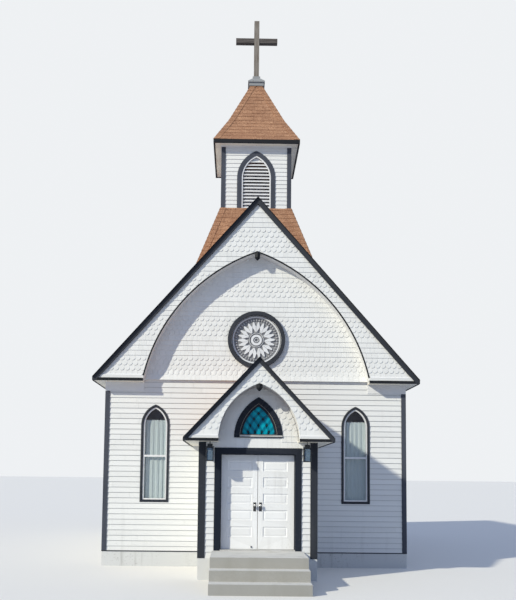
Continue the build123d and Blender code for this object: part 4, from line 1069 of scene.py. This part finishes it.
def mould_panel(shape, side, x0, x1, z0, z1, face, outward):
    """A bevelled moulding round one panel, and the panel's raised field."""
    floor = face - outward * PANEL_SINK
    rim = face + outward * MOULD_PROUD

    def loop(edge, y):
        return [(side * x, y, z) for x, z in ((x0 + edge, z0 + edge), (x1 - edge, z0 + edge),
                                              (x1 - edge, z1 - edge), (x0 + edge, z1 - edge))]

    skin(shape, [loop(0, floor), loop(0, rim), loop(MOULD * MOULD_BEVEL, rim), loop(MOULD, floor)])
    solid(shape, loop(MOULD + FIELD_INSET / 2, floor),
          loop(MOULD + FIELD_INSET, floor + outward * FIELD_RISE))


def ball(shape, centre, radii):
    """A rounded knob."""
    rows = []
    for row in range(KNOB_ROWS + 1):
        tilt = pi * row / KNOB_ROWS
        turns = [2 * pi * step / KNOB_STEPS for step in range(KNOB_STEPS)]
        rows.append([(centre[0] + radii[0] * sin(tilt) * cos(turn), centre[1] + radii[1] * cos(tilt),
                      centre[2] + radii[2] * sin(tilt) * sin(turn)) for turn in turns])
    skin(shape, rows)


leaves = ((-1, "left"), (1, "right"))
height = (LEAF_HEAD - LEAF_FOOT - TOP_RAIL - BOTTOM_RAIL - MID_RAIL * (PANELS - 1)) / PANELS
for side, name in leaves:
    mouldings = ([], [])
    for index in range(PANELS):
        low = LEAF_FOOT + BOTTOM_RAIL + index * (height + MID_RAIL)
        for face, outward in ((LEAF_FRONT, -1), (LEAF_BACK, 1)):
            mould_panel(mouldings, side, LEAF_INNER + MEETING_STILE, LEAF_OUTER - HINGE_STILE, low,
                        low + height, face, outward)
    make_piece(name + "_door_mouldings", mouldings, door_paint, name + "_door")
for side, name in leaves:
    knobs = ([], [])
    for y in (LEAF_FRONT - KNOB_OUT, LEAF_BACK + KNOB_OUT):
        ball(knobs, (side * KNOB_X, y, KNOB_LEVEL), KNOB_SIZE)
    make_piece(name + "_door_knobs", knobs, nickel, name + "_door", smooth=True)
bolt = ([], [])
ball(bolt, BOLT_SPOT, BOLT_SIZE)
make_piece("foot_bolt", bolt, dark_paint, "left_door")

# The lanterns: black iron cages with pale glass and a square hood, each hung on a short stem from the
# vestibule's soffit, with a candle-shaped lamp inside.

LANTERN_X = 1.029
LANTERN_Y = PORCH_FRONT - 0.25
LANTERN_HEAD = 2.81
LANTERN_FOOT = 2.51
LID_HALF = 0.088
LID_HEIGHT = 0.012
LID_LAP = 0.002
PANE_HALF = 0.0592
PANE = 0.002
PANE_INSET = 0.019
CANDLE = 0.014
CANDLE_FOOT = 0.03
CANDLE_TOP = 2.68
CANDLE_STEPS = 10
iron = mottled("satin_black", 0.4, (EVEN, 18.0, 4, 0.5, 0.8), (0.012, 0.016, 0.022, 1),
               (0.05, 0.055, 0.06, 1), shine=0.3)[0]
dress(iron, "lanterns")
# The lantern glass is tinted pale blue as a painted reflection of the sky; its seeds are the glass's own.
sky_tinted_panes, tree, shader = mottled("seeded_glass", 0.12, (EVEN, 40.0, 2, 0.4, 0.75), (0.30, 0.46, 0.66, 1),
                               (0.42, 0.60, 0.78, 1))[:3]
feed(shader, {"Alpha": ramp(tree, add(tree, "LightPath", {})["Is Shadow Ray"], 0, 1, 0.28, 0.05)})
wax = mottled("candle_sleeve", 0.4, ((20, 20, 4), 1.0, 3, 0.4, 0.7), (0.74, 0.72, 0.70, 1),
              (0.60, 0.58, 0.60, 1))[0]
lids, candles, panes = ([], []), ([], []), ([], [])
levels = (LANTERN_FOOT + PANE_INSET, LANTERN_HEAD - PANE_INSET)
for x in (-LANTERN_X, LANTERN_X):
    bar(lids, x - LID_HALF, x + LID_HALF, LANTERN_Y - LID_HALF, LANTERN_Y + LID_HALF, LANTERN_HEAD - LID_LAP,
        LANTERN_HEAD + LID_HEIGHT)
    turns = [2 * pi * step / CANDLE_STEPS for step in range(CANDLE_STEPS)]
    slab(candles, upright, [(x + CANDLE * cos(turn), LANTERN_Y + CANDLE * sin(turn)) for turn in turns],
         LANTERN_FOOT + CANDLE_FOOT, CANDLE_TOP)
    for side in (-1, 1):
        near, far = sorted((side * PANE_HALF, side * (PANE_HALF + PANE)))
        bar(panes, x - PANE_HALF, x + PANE_HALF, LANTERN_Y + near, LANTERN_Y + far, *levels)
        bar(panes, x + near, x + far, LANTERN_Y - PANE_HALF, LANTERN_Y + PANE_HALF, *levels)
make_piece("lantern_panes", panes, sky_tinted_panes)
make_piece("lantern_lids", lids, iron)
make_piece("lantern_candles", candles, wax)

# The belfry: a square clapboarded box on a battered skirt of roof shingles, with a pointed louvre in each
# side, under a flared shingled roof, a moulded cap and a timber cross.

TOWER_HALF = 0.955
TOWER_MIDDLE = 2.755
TOWER_FOOT = 9.66
TOWER_SOFFIT = 11.46
TOWER_FRIEZE = 0.04
TOWER_EXPOSURE = 0.118
LOUVRE_HALF = 0.535
LOUVRE_RADIUS = 0.832
LOUVRE_SPRING = 10.54
SKIRT_LIP = 0.03
SKIRT_PITCH = 2.92
SPIRE_HALF = 1.205
SPIRE_BASE = 11.552
SPIRE_SETBACK = 0.012
SPIRE_LIFT = 0.004
SPIRE_KINK_HALF = 0.77
SPIRE_KINK = 12.322
SPIRE_TOP_HALF = 0.168
SPIRE_TOP = 13.667
HIP_WIDTH = 0.16
HIP_ROW = 0.14
HIP_LAP = 1.15
HIP_THICKNESS = 0.02
HIP_TAPER = 0.4
HIP_SEAT = 0.001
HEAD_HALF = 0.15
HEAD_LEVEL = 11.05
HEAD_TIP = 11.16
HEAD_BACK = -0.06
HEAD_FACE = -0.045
EDGE_WIDTH = 0.045
EDGE_DROP = 0.012


def tower_spans(level):
    """Clapboarded stretches beside a louvre."""
    half = pointed_half(level, LOUVRE_HALF - HIDDEN_EDGE, LOUVRE_RADIUS - HIDDEN_EDGE, 0, LOUVRE_SPRING)
    return without([(-TOWER_HALF, TOWER_HALF)], 0, half)


def on_belfry(turn, x, y, z):
    """A point beside the belfry's middle, carried round to one of its faces."""
    return (x * cos(turn) - y * sin(turn), TOWER_MIDDLE + x * sin(turn) + y * cos(turn), z)


def tower_face(turn):
    """Maps across, level and out to a point on one face of the belfry."""
    return lambda across, level, out: on_belfry(turn, across, -TOWER_HALF - out, level)


tower_stops = pointed_stops(LOUVRE_HALF - HIDDEN_EDGE, LOUVRE_RADIUS - HIDDEN_EDGE, TOWER_FOOT,
                            LOUVRE_SPRING)
boards, heads = ([], []), ([], [])
for quarter in range(4):
    face = tower_face(pi / 2 * quarter)
    clapboards(boards, face, tower_spans, tower_stops, TOWER_FOOT, TOWER_SOFFIT - TOWER_FRIEZE,
               TOWER_EXPOSURE)
    slab(heads, face, [(-HEAD_HALF, HEAD_LEVEL), (HEAD_HALF, HEAD_LEVEL), (0, HEAD_TIP)], HEAD_BACK,
         HEAD_FACE)
make_piece("tower_clapboards", boards, siding_paint)
make_piece("louvre_heads", heads, trim_white)
edges = ([], [])
levels = (TOWER_SOFFIT - EDGE_DROP, TOWER_SOFFIT)
for side in (-1, 1):
    x, y = side * SPIRE_HALF, TOWER_MIDDLE + side * SPIRE_HALF
    bar(edges, x, x - side * EDGE_WIDTH, TOWER_MIDDLE - SPIRE_HALF, TOWER_MIDDLE + SPIRE_HALF, *levels)
    bar(edges, -SPIRE_HALF + EDGE_WIDTH, SPIRE_HALF - EDGE_WIDTH, y, y - side * EDGE_WIDTH, *levels)
make_piece("belfry_edge_boards", edges, black_and_shade_paint)
dress(siding_paint, "tower_walls")
dress(faded_paint, "louvre_frames")
# The belfry's fascia takes the black paint partly as painted shade under the roof's overhanging edge.
dress(black_and_shade_paint, "tower_fascia")
dress(trim_white, "louvre_slats")
dress(shingle_felt, "tower_skirt", "tower_roof")


def hip_caps(shape, place, side, foot_half, lean, length, cuts):
    """Narrow cap shingles along one hip of a sloped face."""
    for row in range(ceil(length / HIP_ROW)):
        low, high = row * HIP_ROW, min(length, (row + HIP_LAP) * HIP_ROW)
        ends = [(up, foot_half - lean * up) for up in (low, high)]
        outline = [(side * edge, up) for up, edge in ends]
        outline += [(side * max(0.0, edge - HIP_WIDTH), up) for up, edge in reversed(ends)]
        outline = cut_down(outline, cuts)
        if outline:
            solid(shape, [place(u, v, HIP_SEAT) for u, v in outline],
                  [place(u, v, HIP_THICKNESS * (1 - HIP_TAPER * (v - low) / HIP_ROW)) for u, v in outline])


def shingle_square(shape, foot_half, foot, top_half, top, valley=False):
    """Tabs on the four faces of a square form, trimmed at its hips and, for the skirt, at the roof."""
    run, rise = foot_half - top_half, top - foot
    length = hypot(run, rise)
    lean, steep = run / length, length / rise
    for quarter in range(4):
        def place(along, up, out):
            return on_belfry(pi / 2 * quarter, along, -(foot_half - run * up / length + rise * out / length),
                             foot + rise * up / length + run * out / length)

        for side in (-1, 1):
            cuts = [((0, 0), (side, 0)), ((side * foot_half, 0), (-side, -lean)), ((0, length), (0, -1))]
            if valley and quarter % 2 == 0:
                cuts.append(((0, (RIDGE - foot) * steep), (side * ROOF_SLOPE * steep, 1)))
            tabs(shape, place, ceil(length / TAB_ROW), *sorted((0, side * foot_half)), cuts)
            hip_caps(shape, place, side, foot_half, lean, length, cuts[1:])


SKIRT_TOP_HALF = TOWER_HALF + SKIRT_LIP
SKIRT_FOOT = ((RIDGE - ROOF_SLOPE * (SKIRT_TOP_HALF + TOWER_FOOT / SKIRT_PITCH))
              / (1 - ROOF_SLOPE / SKIRT_PITCH))
skirt_half = SKIRT_TOP_HALF + (TOWER_FOOT - SKIRT_FOOT) / SKIRT_PITCH
skirt, spire = ([], []), ([], [])
shingle_square(skirt, skirt_half, SKIRT_FOOT, SKIRT_TOP_HALF, TOWER_FOOT, valley=True)
make_piece("skirt_shingles", skirt, shingle_felt)
shingle_square(spire, SPIRE_HALF - SPIRE_SETBACK, SPIRE_BASE + SPIRE_LIFT, SPIRE_KINK_HALF, SPIRE_KINK)
shingle_square(spire, SPIRE_KINK_HALF, SPIRE_KINK, SPIRE_TOP_HALF, SPIRE_TOP)
make_piece("spire_shingles", spire, shingle_felt)
dress(paint("cap_paint", (0.30, 0.31, 0.32, 1), (0.14, 0.14, 0.14, 1), 0.8, 0.6), "tower_cap")
POST_EDGE = 0.076
BEAM_EDGE = 0.08
timber, tree, shader = start_material("weathered_timber", 0.85)
across = reckon(tree, "ABSOLUTE", add(tree, "SeparateXYZ", {0: whereabouts(tree)})["X"])
upright_grain = spots(tree, (40, 40, 2.5), 1.0, 6, 0.3, 0.7)
post = between(tree, upright_grain, (0.13, 0.105, 0.085, 1), (0.27, 0.245, 0.22, 1))
post = between(tree, spots(tree, (70, 70, 1.5), 1.0, 3, 0.66, 0.72), post, (0.04, 0.03, 0.025, 1))
# The arms are coloured darker than the post.
beam = between(tree, spots(tree, (2.5, 40, 40), 1.0, 6, 0.3, 0.7), (0.045, 0.038, 0.036, 1),
               (0.12, 0.105, 0.10, 1))
feed(shader, {"Base Color": between(tree, ramp(tree, across, POST_EDGE, BEAM_EDGE), post, beam)})
raise_surface(tree, shader, upright_grain, 0.004, 0.6)
dress(timber, "cross")

# The place it is shown in: a pale floor and a pale sky, a soft sun from the upper left, and the camera
# that took the photograph.

FLOOR_SIZE = 1600
pale_floor, tree, shader = start_material("pale_floor", DULLEST)
seen = add(tree, "LightPath", {})["Is Camera Ray"]
feed(shader, {"Base Color": between(tree, seen, (0.42, 0.44, 0.47, 1), (0.78, 0.76, 0.73, 1))})
bpy.ops.mesh.primitive_plane_add(size=FLOOR_SIZE)
floor = bpy.context.object
floor.name = "floor"
floor.data.materials.append(pale_floor)

SUN = Vector((-1.35, -1.0, 0.93))
sun_data = bpy.data.lights.new("sun", "SUN")
sun_data.energy = 3.75
sun_data.color = (1.0, 0.96, 0.80)
sun_data.angle = radians(1.5)
sun = bpy.data.objects.new("sun", sun_data)
sun.rotation_euler = SUN.to_track_quat("Z", "Y").to_euler()
bpy.context.scene.collection.objects.link(sun)
sky = bpy.data.worlds.new("pale_sky")
bpy.context.scene.world = sky
sky.use_nodes = True
rays = add(sky.node_tree, "LightPath", {})
seen = reckon(sky.node_tree, "MAXIMUM", rays["Is Camera Ray"], rays["Is Glossy Ray"])
seen = reckon(sky.node_tree, "MAXIMUM", seen, rays["Is Transmission Ray"])
feed(sky.node_tree.nodes["Background"],
     {"Color": between(sky.node_tree, seen, (0.31, 0.40, 0.60, 1), (0.86, 0.88, 0.90, 1))})

CAMERA_SPOT = (-0.482, -17.78, 2.184)
CAMERA_YAW = 0.54
CAMERA_PITCH = 4.612
CAMERA_ROLL = 0.625
FOCAL_PIXELS = 719.9
CENTRE_PIXEL = (242.96, 418.88)
PHOTO_WIDTH = 516
PHOTO_HEIGHT = 600
SENSOR = 36
camera_data = bpy.data.cameras.new("photo_view")
camera_data.sensor_width = SENSOR
camera_data.lens = SENSOR * FOCAL_PIXELS / PHOTO_HEIGHT
camera_data.shift_x = (PHOTO_WIDTH / 2 - CENTRE_PIXEL[0]) / PHOTO_HEIGHT
camera_data.shift_y = (CENTRE_PIXEL[1] - PHOTO_HEIGHT / 2) / PHOTO_HEIGHT
camera_data.clip_end = FLOOR_SIZE
camera = bpy.data.objects.new("photo_view", camera_data)
camera.matrix_world = (Matrix.Translation(CAMERA_SPOT) @ Matrix.Rotation(radians(-CAMERA_YAW), 4, "Z")
                       @ Matrix.Rotation(radians(90 + CAMERA_PITCH), 4, "X")
                       @ Matrix.Rotation(radians(CAMERA_ROLL), 4, "Z"))
bpy.context.scene.collection.objects.link(camera)
bpy.context.scene.camera = camera
bpy.context.scene.view_settings.view_transform = "Standard"
